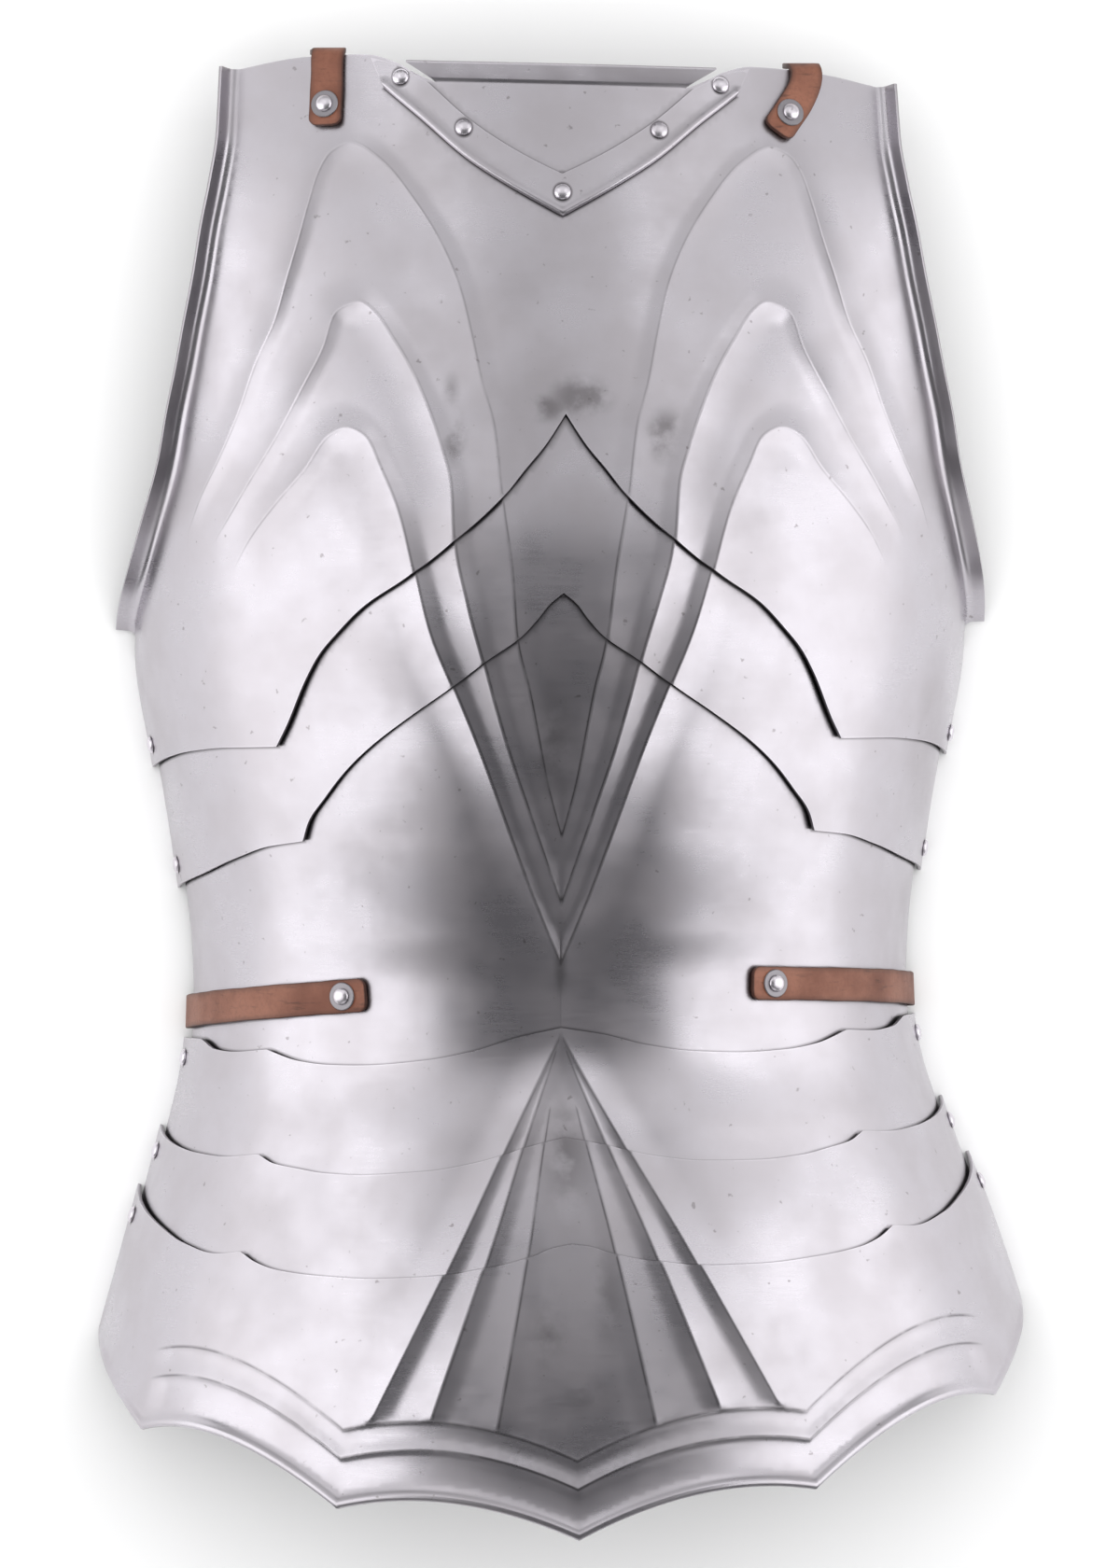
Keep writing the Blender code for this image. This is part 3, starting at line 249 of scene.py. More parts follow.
# Dark patches, partly smudges and partly painted shade: (across, down, half width and half height in
# millimetres, depth)
SMUDGES_AND_SHADE = (
    (-0.045, 0.243, 15.0, 9.0, 0.9), (0.035, 0.236, 20.0, 13.0, 1.0), (-0.125, 0.242, 9.0, 7.0, 0.6),
    (-0.270, 0.232, 6.0, 12.0, 0.6), (-0.262, 0.262, 8.0, 17.0, 0.9), (0.235, 0.262, 12.0, 16.0, 1.0),
    (0.000, 0.610, 5.0, 26.0, 0.7), (-0.020, 0.470, 20.0, 46.0, 0.5), (0.000, 0.740, 16.0, 44.0, 0.6),
    (-0.060, 0.860, 12.0, 30.0, 0.5), (0.080, 0.840, 10.0, 36.0, 0.5), (0.030, 0.900, 20.0, 14.0, 0.4),
)
LEATHER_LIGHT = (0.240, 0.094, 0.056, 1.0)
LEATHER_DARK = (0.135, 0.048, 0.029, 1.0)
LEATHER_EDGE = (0.035, 0.014, 0.010, 1.0)
FLOOR_LIGHT = (0.87, 0.87, 0.87, 1.0)
FLOOR_SHADE = (0.84, 0.84, 0.84, 1.0)
FLOOR_HALF = 6.0
WORLD_COLOUR = (0.97, 0.97, 1.0, 1.0)
WORLD_STRENGTH = 0.14
# Lamps: (name, place, aim, size, glow, whether metal mirrors it)
LAMPS = (
    ("lamp_right", (1.55, 0.0, 0.85), (0.0, 0.0, 0.6), (1.5, 2.6), 1.75, True),
    ("lamp_left", (-1.55, 0.0, 0.85), (0.0, 0.0, 0.6), (1.5, 2.6), 1.75, True),
    ("lamp_top", (0.0, 1.60, 1.50), (0.0, 0.2, 0.2), (2.0, 2.0), 0.72, True),
    ("lamp_top_right", (1.30, 1.25, 1.15), (0.0, 0.2, 0.1), (1.3, 1.8), 0.85, True),
    ("lamp_top_left", (-1.30, 1.25, 1.15), (0.0, 0.2, 0.1), (1.3, 1.8), 0.85, True),
    ("lamp_low", (0.0, -1.75, 0.85), (0.0, 0.0, 0.2), (2.2, 1.2), 0.80, True),
    ("lamp_floor", (0.0, 0.0, 3.0), (0.0, 0.0, 0.0), (3.0, 3.0), 2.8, False),
)

# The camera and the photograph's frame
SENSOR = 36.0
PHOTO_HEIGHT_M = 0.7033
CAMERA_DISTANCE = 18.0
CAMERA_YAW = math.radians(2.2)
CAMERA_AIM = Vector((-0.0036, 0.0035, 0.1))


def smooth(table_x, table_y, x):
    """Monotone cubic through the table, read at x."""
    table_x, table_y = np.asarray(table_x, float), np.asarray(table_y, float)
    run, rise = np.diff(table_x), np.diff(table_y)
    slope = rise / run
    tangent = np.zeros(len(table_x))
    same = slope[1:] * slope[:-1] > 0
    total = np.where(same, slope[1:] + slope[:-1], 1)
    tangent[1:-1] = np.where(same, 2 * slope[1:] * slope[:-1] / total, 0)
    tangent[0], tangent[-1] = slope[0], slope[-1]
    x = np.clip(x, table_x[0], table_x[-1])
    i = np.clip(np.searchsorted(table_x, x, side="right") - 1, 0, len(run) - 1)
    t = (x - table_x[i]) / run[i]
    return (table_y[i] * (1 + 2 * t) * (1 - t) ** 2 + tangent[i] * run[i] * t * (1 - t) ** 2
            + table_y[i + 1] * t * t * (3 - 2 * t) + tangent[i + 1] * run[i] * t * t * (t - 1))


def form(down):
    """Half width, depth, turn and sideways place of the body at a height."""
    values = [smooth(FORM[:, 0], FORM[:, k], down) for k in range(1, len(FORM_COLUMNS))]
    half_width, depth, turn, sideways = values
    return half_width * HALF_CHEST, depth * CHEST_DEPTH, np.radians(turn), sideways * HALF_CHEST


def bearing(across, down):
    """Angle round the body of a point seen from the front."""
    return np.arcsin(np.clip(np.asarray(across) * HALF_CHEST / form(down)[0], -1, 1))


def form_point(angle, down):
    """Points on the body form itself, in the form's own frame."""
    half_width, depth, turn, sideways = form(down)
    x = half_width * np.sin(angle)
    z = depth * np.cos(angle)
    y = (0.5 - down) * LENGTH + x * np.tan(turn)
    return np.stack((x + sideways, y, z), axis=-1)


def unit(vectors):
    """The vector or vectors at a length of one."""
    return vectors / np.linalg.norm(vectors, axis=-1, keepdims=True)


def normal_at(angle, down):
    """Outward unit normal of the body form."""
    step = 1e-4
    around = form_point(angle + step, down) - form_point(angle - step, down)
    along = form_point(angle, down - step) - form_point(angle, down + step)
    return unit(np.cross(around, along))


def side_rivet_height(place):
    """Height of a pair of side rivets, from the side edge that they sit inside."""
    table, inward = SIDE_EDGES[place]
    across, down = np.array(table).T
    edge = np.interp(HINGE_BEARING, bearing(across, down), down)
    return float(edge) + inward * RIVET_INSET / LENGTH


def on_body(angle, down, lift):
    """World points at a bearing and height, lifted square off the body form."""
    lift = np.asarray(lift, float)
    return form_point(angle, down) + PLACE + normal_at(angle, down) * lift[..., None]


def to_sheet(across, down):
    """Flat sheet coordinates in millimetres of a point seen from the front."""
    angle = bearing(across, down)
    return np.stack((angle * HALF_CHEST, -np.asarray(down) * LENGTH), axis=-1) * MILLI


def from_sheet(points):
    """Bearing and height of sheet coordinates."""
    return points[:, 0] / MILLI / HALF_CHEST, -points[:, 1] / MILLI / LENGTH


def resample(points, step):
    """Points every step or so along a smooth curve through the given ones."""
    points = np.asarray(points, float)
    span = np.linalg.norm(np.diff(points, axis=0), axis=1)
    reach = np.concatenate(([0.0], np.cumsum(span)))
    count = max(1, round(reach[-1] / step))
    at = np.linspace(0, reach[-1], count + 1)
    return np.stack([smooth(reach, points[:, k], at) for k in range(points.shape[1])], axis=-1)


def joined(pieces):
    """Curves that end where the next begins, as one."""
    return np.concatenate([piece[:-1] for piece in pieces[:-1]] + [pieces[-1]])


def half_edge(*tables):
    """Sheet curve of one or more edge tables that meet in corners."""
    return joined([resample(to_sheet(*np.array(table).T), LINE_STEP) for table in tables])


def mirrored(points):
    """The curve on the other side of the body."""
    return points * np.array((-1.0, 1.0))


def across_body(half):
    """A whole edge from one back edge to the other, from its half."""
    return np.concatenate((mirrored(half)[::-1], half[1:]))


def folded(points):
    """The points brought over to one side of the body."""
    return np.column_stack((np.abs(points[:, 0]), points[:, 1]))


def falling(distance, reach):
    """One at no distance, falling evenly to nothing at the reach."""
    return np.clip(1 - distance / reach, 0, 1)


def moved(curve, up):
    """The curve moved up the sheet by a length."""
    return curve + np.array((0.0, up * MILLI))


def hem_edge():
    """Half of the scalloped hem: an arch between each two points."""
    pieces = []
    for (across_a, down_a, arch), (across_b, down_b, _) in zip(HEM, HEM[1:]):
        ends = to_sheet(np.array((across_a, across_b)), np.array((down_a, down_b)))
        count = max(3, round(np.linalg.norm(ends[1] - ends[0]) / LINE_STEP))
        t = np.linspace(0, 1, count + 1)[:, None]
        curve = ends[0] * (1 - t) + ends[1] * t
        curve[:, 1] += (4 * t * (1 - t))[:, 0] * arch * LENGTH * MILLI
        pieces.append(curve)
    return joined(pieces)


def nearest(points, line):
    """Distance to a polyline, the side it is on and the place along it."""
    best = np.full(len(points), np.inf)
    side = np.ones(len(points))
    place = np.zeros(len(points))
    for k, (a, b) in enumerate(zip(line, line[1:])):
        edge = b - a
        t = np.clip(((points - a) @ edge) / (edge @ edge), 0, 1)
        gap = points - (a + t[:, None] * edge)
        distance = np.einsum("ij,ij->i", gap, gap)
        closer = distance < best
        cross = edge[0] * (points[:, 1] - a[1]) - edge[1] * (points[:, 0] - a[0])
        best = np.where(closer, distance, best)
        side = np.where(closer, np.sign(cross), side)
        place = np.where(closer, k + t, place)
    return np.sqrt(best), side, place


class Flute:
    """One crest: a long flank away from the middle and a short one towards it."""

    def __init__(self, rows, painted_shade):
        self.painted_shade = painted_shade
        across, down, share = np.array(rows).T
        curve = resample(np.column_stack((to_sheet(across, down), share)), LINE_STEP)
        self.line, self.share = curve[:, :2], curve[:, 2]
        ahead = np.gradient(self.line, axis=0)
        climb = ahead[:, 1] / np.linalg.norm(ahead, axis=1)
        padded = np.pad(climb, CLIMB_BLUR // 2, "edge")
        self.climb = np.convolve(padded, np.full(CLIMB_BLUR, 1 / CLIMB_BLUR), "valid")

    def read(self, points):
        """The crest's lift at the points, and the painted shade along its crease."""
        distance, side, place = nearest(points, self.line)
        share = np.interp(place, np.arange(len(self.share)), self.share)
        climb = np.interp(place, np.arange(len(self.climb)), self.climb)
        outward = 0.5 - 0.5 * side * np.clip(climb * CLIMB_GAIN, -1, 1)
        width = SHORT_FLANK + (LONG_FLANK - SHORT_FLANK) * outward
        power = SHORT_POWER + (LONG_POWER - SHORT_POWER) * outward
        lift = RIDGE_HEIGHT * share * falling(distance, width) ** power
        # A thin dark line of painted shade just beside the crest, on its short flank
        line = falling(np.abs(distance - CREASE), CREASE)
        line *= self.painted_shade * np.interp(from_sheet(points)[1], *CREASE_FADE)
        return lift, line * np.clip(1 - 2 * outward, 0, 1) * np.clip(share * 3, 0, 1)


def fan_rows(slope, start, share):
    """A straight crest of the fauld, spreading from the middle of the waist."""
    rows = []
    for down in np.linspace(FAN_TOP + start, FAN_END, FAN_ROWS):
        across = slope * (down - FAN_TOP) * LENGTH / HALF_CHEST
        rows.append((across, down, share if rows else share / 2))
    return rows


def fluting(flutes):
    """Relief of a set of crests, the same on both sides of the body."""
    def relief(points):
        readings = [flute.read(folded(points)) for flute in flutes]
        return tuple(np.max(values, axis=0) for values in zip(*readings))
    return relief


def fading(angle, start, end):
    """One up to the start, falling to nothing at the end."""
    return 1 - np.clip((angle - start) / (end - start), 0, 1)


def hem_relief(points):
    """Crests, then the border's two stepped coves and its rolled rim, with painted shade along the
    creases and the border's steps.
    """
    hem = hem_edge()
    across = np.abs(points[:, 0])
    height = points[:, 1] - np.interp(across, hem[:, 0], hem[:, 1])
    heights, lifts = np.array(HEM_PROFILE).T
    border = smooth(heights, lifts, height) / MILLI
    angle = np.abs(from_sheet(points)[0])
    fade = fading(angle, *COVE_FADE)
    border *= np.where(height > heights[HEM_RIM_ROW], fade, fading(angle, *RIM_FADE))
    lift, crease = fluting(FAULD_FLUTES)(points)
    ease = np.clip((height - HEM_CREASES[1]) / HEM_EASE, 0, 1)
    lift, crease = lift * ease, crease * ease
    # Painted shade along the two steps of the border
    for line in HEM_CREASES:
        crease = np.maximum(crease, HEM_CREASE_SHADE * fade * falling(np.abs(height - line), CREASE))
    return lift + border, crease


def band_relief(points):
    """A raised bead along the outer edge of the neck band."""
    distance = nearest(folded(points), half_edge(BAND_OUTER))[0]
    width = BAND_BEAD_WIDTH * MILLI
    bead = BAND_BEAD * np.clip(1 - (2 * distance / width - 1) ** 2, 0, 1)
    return bead, np.zeros(len(points))


def inside(points, outline):
    """Which points a closed outline holds."""
    held = np.zeros(len(points), bool)
    for a, b in zip(outline, np.roll(outline, -1, axis=0)):
        if a[1] != b[1]:
            crosses = (a[1] > points[:, 1]) != (b[1] > points[:, 1])
            x = a[0] + (points[:, 1] - a[1]) * (b[0] - a[0]) / (b[1] - a[1])
            held ^= crosses & (points[:, 0] < x)
    return held


def near(points, line, reach):
    """Which points lie within a reach of a dense line, by boxes round its points."""
    cells = set()
    for x, y in np.floor(line / reach).astype(int):
        cells.update((x + i, y + j) for i in (-1, 0, 1) for j in (-1, 0, 1))
    keys = np.floor(points / reach).astype(int)
    maybe = np.array([(x, y) in cells for x, y in keys], bool)
    close = np.zeros(len(points), bool)
    if maybe.any():
        close[maybe] = nearest(points[maybe], line)[0] < reach
    return close


def triangulate(outline, lines, step):
    """Triangles of a sheet outline that follow its crease lines."""
    verts, edges = list(outline), []
    fixed = [np.concatenate((outline, outline[:1]))]
    for line in lines:
        keep = inside(line, outline) & ~near(line, fixed[0], LEAST_EDGE)
        last = None
        for point, kept in zip(line, keep):
            if kept:
                verts.append(point)
                if last is not None:
                    edges.append((last, len(verts) - 1))
                last = len(verts) - 1
            else:
                last = None
        fixed.append(line)
    low, high = (np.round(corner(outline, axis=0) / (step, step * SEED_ROW)).astype(int)
                 for corner in (np.min, np.max))
    rows, columns = np.meshgrid(np.arange(low[1], high[1] + 1), np.arange(low[0] - 1, high[0] + 1))
    seeds = np.column_stack((((columns + (rows % 2) / 2) * step).ravel(),
                             (rows * step * SEED_ROW).ravel()))
    keep = inside(seeds, outline)
    for line in fixed:
        keep &= ~near(seeds, line, step * SEED_CLEAR)
    verts.extend(seeds[keep])
    count = len(outline)
    edges.extend(zip(range(count), list(range(1, count)) + [0]))
    flat, _, faces, origin, _, _ = delaunay_2d_cdt(
        [Vector(v) for v in verts], edges, [list(range(count))], 1, 1e-3)
    flat = np.array([tuple(v) for v in flat])
    border = {}
    for index, merged in enumerate(origin):
        for vert in merged:
            if vert < count:
                border[vert] = index
    return flat, [tuple(face) for face in faces], border


def placed(name, data):
    """A new object of the scene."""
    obj = bpy.data.objects.new(name, data)
    bpy.context.collection.objects.link(obj)
    return obj


def add_piece(mesh, body, replaced, paint):
    """A visible piece that rides on a body and stands for a CAD node."""
    mesh.materials.append(paint)
    obj = placed(mesh.name, mesh)
    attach(obj, body)
    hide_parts(replaced)
    return obj


def add_mesh(name, points, faces, body, replaced, paint, tones):
    """A smooth piece from points and faces, with a tone or more at each point."""
    mesh = bpy.data.meshes.new(name)
    mesh.from_pydata([tuple(point) for point in points], [], faces)
    mesh.shade_smooth()
    mesh.set_sharp_from_angle(angle=PLATE_CORNER)
    for label, values in tones.items():
        layer = mesh.attributes.new(label, "FLOAT", "POINT")
        layer.data.foreach_set("value", np.asarray(values, np.float32))
    return add_piece(mesh, body, replaced, paint)


def walled(outer, inner, faces):
    """Points and faces of a closed wall between two copies of a sheet."""
    count = len(outer)
    walls = list(faces)
    walls += [tuple(count + index for index in reversed(face)) for face in faces]
    edges = {(a, b) for face in faces for a, b in zip(face, face[1:] + face[:1])}
    for a, b in edges:
        if (b, a) not in edges:
            walls.append((b, a, count + a, count + b))
    return np.concatenate((outer, inner)), walls


def turned_out(outer, normals, faces, loop, radius, height, turn, flare):
    """Rows of a flange turned out along part of a border, whose ends may flare sideways."""
    run, rise = outer[loop], normals[loop]
    along = np.gradient(run, axis=0)
    away = unit(np.cross(along, rise))
    along = unit(along)
    reach = np.concatenate(([0.0], np.cumsum(np.linalg.norm(np.diff(run, axis=0), axis=1))))
    sway = falling(reach[-1] - reach, NECK_EASE) - falling(reach, NECK_EASE)
    shift = along * sway[:, None] * flare
    straight = max(height - radius * (1 - math.cos(turn)), radius / 4) / math.sin(turn)
    full = radius * turn + straight
    rows = [(turn * k / FLANGE_ROWS, 0.0) for k in range(1, FLANGE_ROWS + 1)]
    rows += [(turn, straight * k / FLAT_ROWS) for k in range(1, FLAT_ROWS + 1)]
    outer_rows, back_rows, last = [], [], list(loop)
    count = len(outer)
    centre = run + rise * radius
    for angle, length in rows:
        heading = away * math.cos(angle) + rise * math.sin(angle)
        spoke = away * math.sin(angle) - rise * math.cos(angle)
        offset = heading * length + shift * (radius * angle + length) / full
        outer_rows.append(centre + radius * spoke + offset)
        back_rows.append(centre + (radius + PLATE) * spoke + offset)
        current = list(range(count, count + len(loop)))
        for k in range(len(loop) - 1):
            faces.append((last[k + 1], last[k], current[k], current[k + 1]))
        last, count = current, count + len(loop)
    return np.concatenate(outer_rows), np.concatenate(back_rows)


def head_ring(head, reach):
    """A circle on the sheet round a rivet's head, a little beyond its edge."""
    turn, height, radius = head
    round_it = np.linspace(0, math.tau, RING_POINTS)
    circle = np.stack((np.cos(round_it), np.sin(round_it)), axis=-1)
    return np.array((turn * HALF_CHEST, -height * LENGTH)) * MILLI + circle * (radius * MILLI + reach)


def plate(name, outline, lift, relief, lines, body, seams=(), flanges=(), wall=PLATE,
          heads=()):
    """One fine armour plate, with tones for its crests and rims, painted shade along its creases, its
    seams and round its rivet heads, and dark patches of smudge and painted shade.
    """
    seams = list(seams)
    beside = [moved(seam, side * SEAM / MILLI) for seam in seams for side in (-1, 1)]
    beside += [head_ring(head, reach) for head in heads for reach in (0.0, HEAD_RING)]
    flat, faces, border = triangulate(outline, lines + seams + beside, SEED_STEP)
    angle, down = from_sheet(flat)
    height, crease = relief(flat)
    outer = on_body(angle, down, lift + height)
    inner = on_body(angle, down, lift + height - wall)
    closed = np.concatenate((outline, outline[:1]))
    rim = falling(nearest(flat, closed[::2])[0], RIM_REACH)
    # Painted shadow along the seams under the edges of the plates above, and painted shade and dirt in
    # a ring round each rivet head
    painted_shade = np.zeros(len(flat))
    for seam in seams:
        painted_shade = np.maximum(painted_shade, falling(nearest(flat, seam[::2])[0], SEAM))
    for head in heads:
        painted_shade = np.maximum(painted_shade, falling(nearest(flat, head_ring(head, 0.0))[0], HEAD_RING))
    # Dark patches, partly smudges and partly painted shade
    smudge_and_shade = np.zeros(len(flat))
    for across, place, wide, tall, depth in SMUDGES_AND_SHADE:
        gap = (flat - to_sheet(across, place)) / (wide, tall)
        smudge_and_shade = np.maximum(smudge_and_shade, depth * falling(np.linalg.norm(gap, axis=1), 1.0))
    normals = normal_at(angle, down)
    for start, end, radius, tall, turn, flare in flanges:
        loop = [border[index] for index in range(start, end + 1)]
        fronts, backs = turned_out(outer, normals, faces, loop, radius, tall, turn, flare)
        extra = len(fronts)
        outer, inner = np.concatenate((outer, fronts)), np.concatenate((inner, backs))
        normals = np.concatenate((normals, np.zeros((extra, 3))))
        edge = np.where(np.arange(extra) < extra - len(loop), 0.0, 1.0)
        rim[loop] = 0
        rim = np.concatenate((rim, edge))
    blank = np.zeros(len(outer) - len(flat))
    back = np.zeros(len(outer))
    points, walls = walled(outer, inner, faces)
    tones = {"crest": np.clip(height / RIDGE_HEIGHT, 0, 1), "crease": crease, "seam": painted_shade,
             "smudge_and_shade": smudge_and_shade}
    tones = {label: np.concatenate((tones[label], blank, back)) for label in tones}
    tones["rim"] = np.concatenate((rim, rim))
    tones["inside"] = np.concatenate((back, back + 1))
    add_mesh("steel_" + name, points, walls, body, name, STEEL_PAINT, tones)


def flute_lines(flutes):
    """Sheet lines of the crests and of rows close beside them, on both sides."""
    lines = []
    for flute in flutes:
        ahead = np.gradient(flute.line, axis=0)
        square = unit(np.stack((-ahead[:, 1], ahead[:, 0]), axis=-1))
        for offset in (-2 * CREST_ROW, -CREST_ROW, 0, CREST_ROW, 2 * CREST_ROW):
            row = flute.line + square * offset
            row = row[row[:, 0] > (-0.01 if offset == 0 else MIDDLE_CLEAR)]
            if len(row) > 1 and row[:, 0].max() > MIDDLE_CLEAR:
                lines += [row, mirrored(row)]
            elif len(row) > 1:
                lines.append(row)
    return lines


def border_lines():
    """Sheet lines along the steps of the hem's border."""
    hem = hem_edge()
    return [across_body(moved(hem, height / MILLI)) for height, _ in HEM_PROFILE[1:]]


def ring(bottom, top):
    """A closed outline from a bottom edge and a top edge, each left to right."""
    left = resample((top[0], bottom[0]), LINE_STEP)[1:-1]
    right = resample((bottom[-1], top[-1]), LINE_STEP)[1:-1]
    return np.concatenate((bottom, right, top[::-1], left))


def bearing_at(height, down, lift=0.0):
    """Bearing at which a plate of the given lift comes down to a height."""
    return math.acos(height / (float(form(down)[1]) + lift))


def trimmed(curve, lift):
    """The curve cut off where the plate's back edge lies at SIDE_LIFT."""
    down = -curve[-1, 1] / MILLI / LENGTH
    limit = bearing_at(SIDE_LIFT, down, lift) * HALF_CHEST * MILLI
    height = np.interp((-limit, limit), curve[:, 0], curve[:, 1])
    kept = curve[np.abs(curve[:, 0]) < limit - 0.5]
    return np.concatenate((((-limit, height[0]),), kept, ((limit, height[1]),)))


def side_heads(place):
    """Bearing, height and radius of a pair of side rivets' heads."""
    return [(sign * HINGE_BEARING, SIDE_RIVETS[place], RIVET_HEAD) for _, sign in SIDES]


def breastplate():
    """The chest plate, with its turned-out neck edge and arm flanges."""
    bottom = across_body(half_edge(BREAST_POINT, BREAST_SIDE))
    hole_across, hole_down = np.array(ARMHOLE).T
    arm = to_sheet(hole_across, hole_down)
    arm[-1, 0] = bearing_at(ARM_FLANGE_END, hole_down[-1]) * HALF_CHEST * MILLI
    arm = resample(arm, LINE_STEP)[::-1]
    shoulder = half_edge((NECK_CORNER,) + SHOULDER)[::-1]
    corner = to_sheet(*NECK_CORNER)
    neck = resample((corner, mirrored(corner)), LINE_STEP)
    foot = np.array((bottom[-1, 0], -SIDE_FOOT * LENGTH * MILLI))
    side = resample((bottom[-1], foot), LINE_STEP)[1:]
    parts = [bottom, side, arm, shoulder[1:-1], neck, mirrored(shoulder[1:-1])[::-1],
             mirrored(arm)[::-1], mirrored(side)[::-1]]
    starts = np.cumsum([0] + [len(part) for part in parts])
    arm_size = (ARM_FLANGE_RADIUS, ARM_FLANGE_HEIGHT, ARM_FLANGE_TURN, 0.0)
    neck_size = (NECK_FLANGE_RADIUS, NECK_FLANGE_HEIGHT, NECK_FLANGE_TURN, NECK_FLARE)
    flanges = (
        (starts[2], starts[3] - 1) + arm_size,
        (starts[4], starts[5] - 1) + neck_size,
        (starts[6], starts[7] - 1) + arm_size,
    )
    band_edges = [across_body(half_edge(table)) for table in (BAND_INNER, BAND_OUTER)]
    plate("breastplate", np.concatenate(parts), CHEST_LIFT, fluting(CHEST_FLUTES),
          flute_lines(CHEST_FLUTES), "chest", band_edges, flanges, heads=side_heads("breast"))


def neck_places():
    """Bearing and height of each rivet of the neck band."""
    return [(sign * float(bearing(across, down)), down)
            for across, down in BAND_RIVETS for sign in ((1, -1) if across else (1,))]


def neck_band():
    """The riveted band in a deep point below the neck edge."""
    lift = CHEST_LIFT + FIT_GAP + BAND
    inner = half_edge(BAND_INNER)
    top = half_edge((BAND_INNER[-1],) + BAND_TOP)[1:]
    outer = half_edge(BAND_OUTER)
    end = resample((outer[-1], top[-1]), LINE_STEP)[1:]
    below = np.concatenate((outer, end))
    above = np.concatenate((inner, top[:-1]))
    outline = np.concatenate((across_body(below), above[::-1], mirrored(above[1:])))
    beads = [across_body(moved(outer, BAND_BEAD_WIDTH * share)) for share in (0.3, 0.6, 1.1)]
    heads = [(angle, down, RIVET_HEAD) for angle, down in neck_places()]
    plate("neck_band", outline, lift, band_relief, beads, "chest", wall=BAND, heads=heads)


def lames():
    """The two pointed plates below the chest and the three plates of the fauld."""
    breast = across_body(half_edge(BREAST_POINT, BREAST_SIDE))
    lame = across_body(half_edge(LAME_POINT, LAME_SIDE))
    tops = [across_body(half_edge(point, side)) for point, side in (
        (FAULD_1_POINT, FAULD_1_SIDE), (FAULD_2_POINT, FAULD_2_SIDE),
        (FAULD_3_POINT, FAULD_3_SIDE))]
    hem = across_body(hem_edge())
    chest, fauld = fluting(CHEST_FLUTES), fluting(FAULD_FLUTES)
    chest_lines, fauld_lines = flute_lines(CHEST_FLUTES), flute_lines(FAULD_FLUTES)
    plate("upper_lame", ring(lame, moved(breast, OVERLAP)), LAME_LIFT, chest, chest_lines,
          "lame", (breast,), heads=side_heads("lame"))
    plate("waist_plate", ring(trimmed(moved(tops[0], -WAIST_SKIRT), WAIST_LIFT),
                              trimmed(moved(lame, OVERLAP), WAIST_LIFT)), WAIST_LIFT, chest,
          chest_lines, "waist", (lame, tops[0]))
    for number, top, below in ((1, tops[0], tops[1]), (2, tops[1], tops[2])):
        body = f"fauld_{number}"
        plate(f"fauld_lame_{number}", ring(moved(below, -OVERLAP), top), FAULD_LIFTS[number - 1],
              fauld, fauld_lines, body, (below,), heads=side_heads(body))
    plate("fauld_lame_3", ring(hem, tops[2]), FAULD_LIFTS[2], hem_relief,
          fauld_lines + border_lines(), "fauld_3", heads=side_heads("fauld_3"))


def turned(name, profile, centre, normal, body, node, paint):
    """A turned steel piece: its profile of (radius, height) spun about the normal."""
    work = bmesh.new()
    verts = [work.verts.new((radius, 0.0, height)) for radius, height in profile]
    edges = [work.edges.new(pair) for pair in zip(verts, verts[1:])]
    if profile[0][0] > 0:
        edges.append(work.edges.new((verts[-1], verts[0])))
    bmesh.ops.spin(work, geom=verts + edges, cent=(0, 0, 0), axis=(0, 0, 1), angle=math.tau,
                   steps=TURNED_SIDES, use_merge=False, use_duplicate=False)
    bmesh.ops.remove_doubles(work, verts=work.verts, dist=1e-6)
    bmesh.ops.recalc_face_normals(work, faces=work.faces)
    turn = Vector(normal).to_track_quat("Z", "Y").to_matrix().to_4x4()
    work.transform(Matrix.Translation(Vector(centre)) @ turn)
    mesh = bpy.data.meshes.new(name)
    work.to_mesh(mesh)
    work.free()
    mesh.shade_smooth()
    mesh.set_sharp_from_angle(angle=TURNED_CORNER)
    add_piece(mesh, body, node, paint)


def rivet(node, angle, down, top, bottom, body):
    """A domed rivet head on its seat, with its shank and peened end."""
    seat = on_body(angle, down, top + FIT_GAP / 3)
    end = bottom - PEEN - top
    dome = [(RIVET_HEAD * math.cos(t), RIVET_LIP + (RIVET_DOME - RIVET_LIP) * math.sin(t))
            for t in np.linspace(0, math.pi / 2, DOME_ROWS + 1)[:-1]]
    profile = [(0.0, end), (SHANK * SHANK_END, end), (SHANK, end + PEEN / 2), (SHANK, 0.0),
               (RIVET_HEAD * SEAT_WIDTH, 0.0)] + dome + [(0.0, RIVET_DOME)]
    turned("steel_" + node, profile, seat, normal_at(angle, down), body, node, RIVET_PAINT)


def rivets():
    """The band's rivets and the pairs of side rivets that the lames turn on."""
    for number, (angle, down) in enumerate(neck_places(), 1):
        rivet(f"neck_rivet_{number}", angle, down, CHEST_LIFT + FIT_GAP + BAND,
              CHEST_LIFT - PLATE, "chest")
    stacks = (
        ("breast", CHEST_LIFT, LAME_LIFT, "chest"), ("lame", LAME_LIFT, WAIST_LIFT, "lame"),
        ("fauld_1", FAULD_LIFTS[0], WAIST_LIFT, "fauld_1"),
        ("fauld_2", FAULD_LIFTS[1], FAULD_LIFTS[0], "fauld_2"),
        ("fauld_3", FAULD_LIFTS[2], FAULD_LIFTS[1], "fauld_3"),
    )
    for place, lift, under, body in stacks:
        for side, sign in SIDES:
            rivet(f"{side}_{place}_rivet", sign * HINGE_BEARING, SIDE_RIVETS[place], lift,
                  under - PLATE, body)


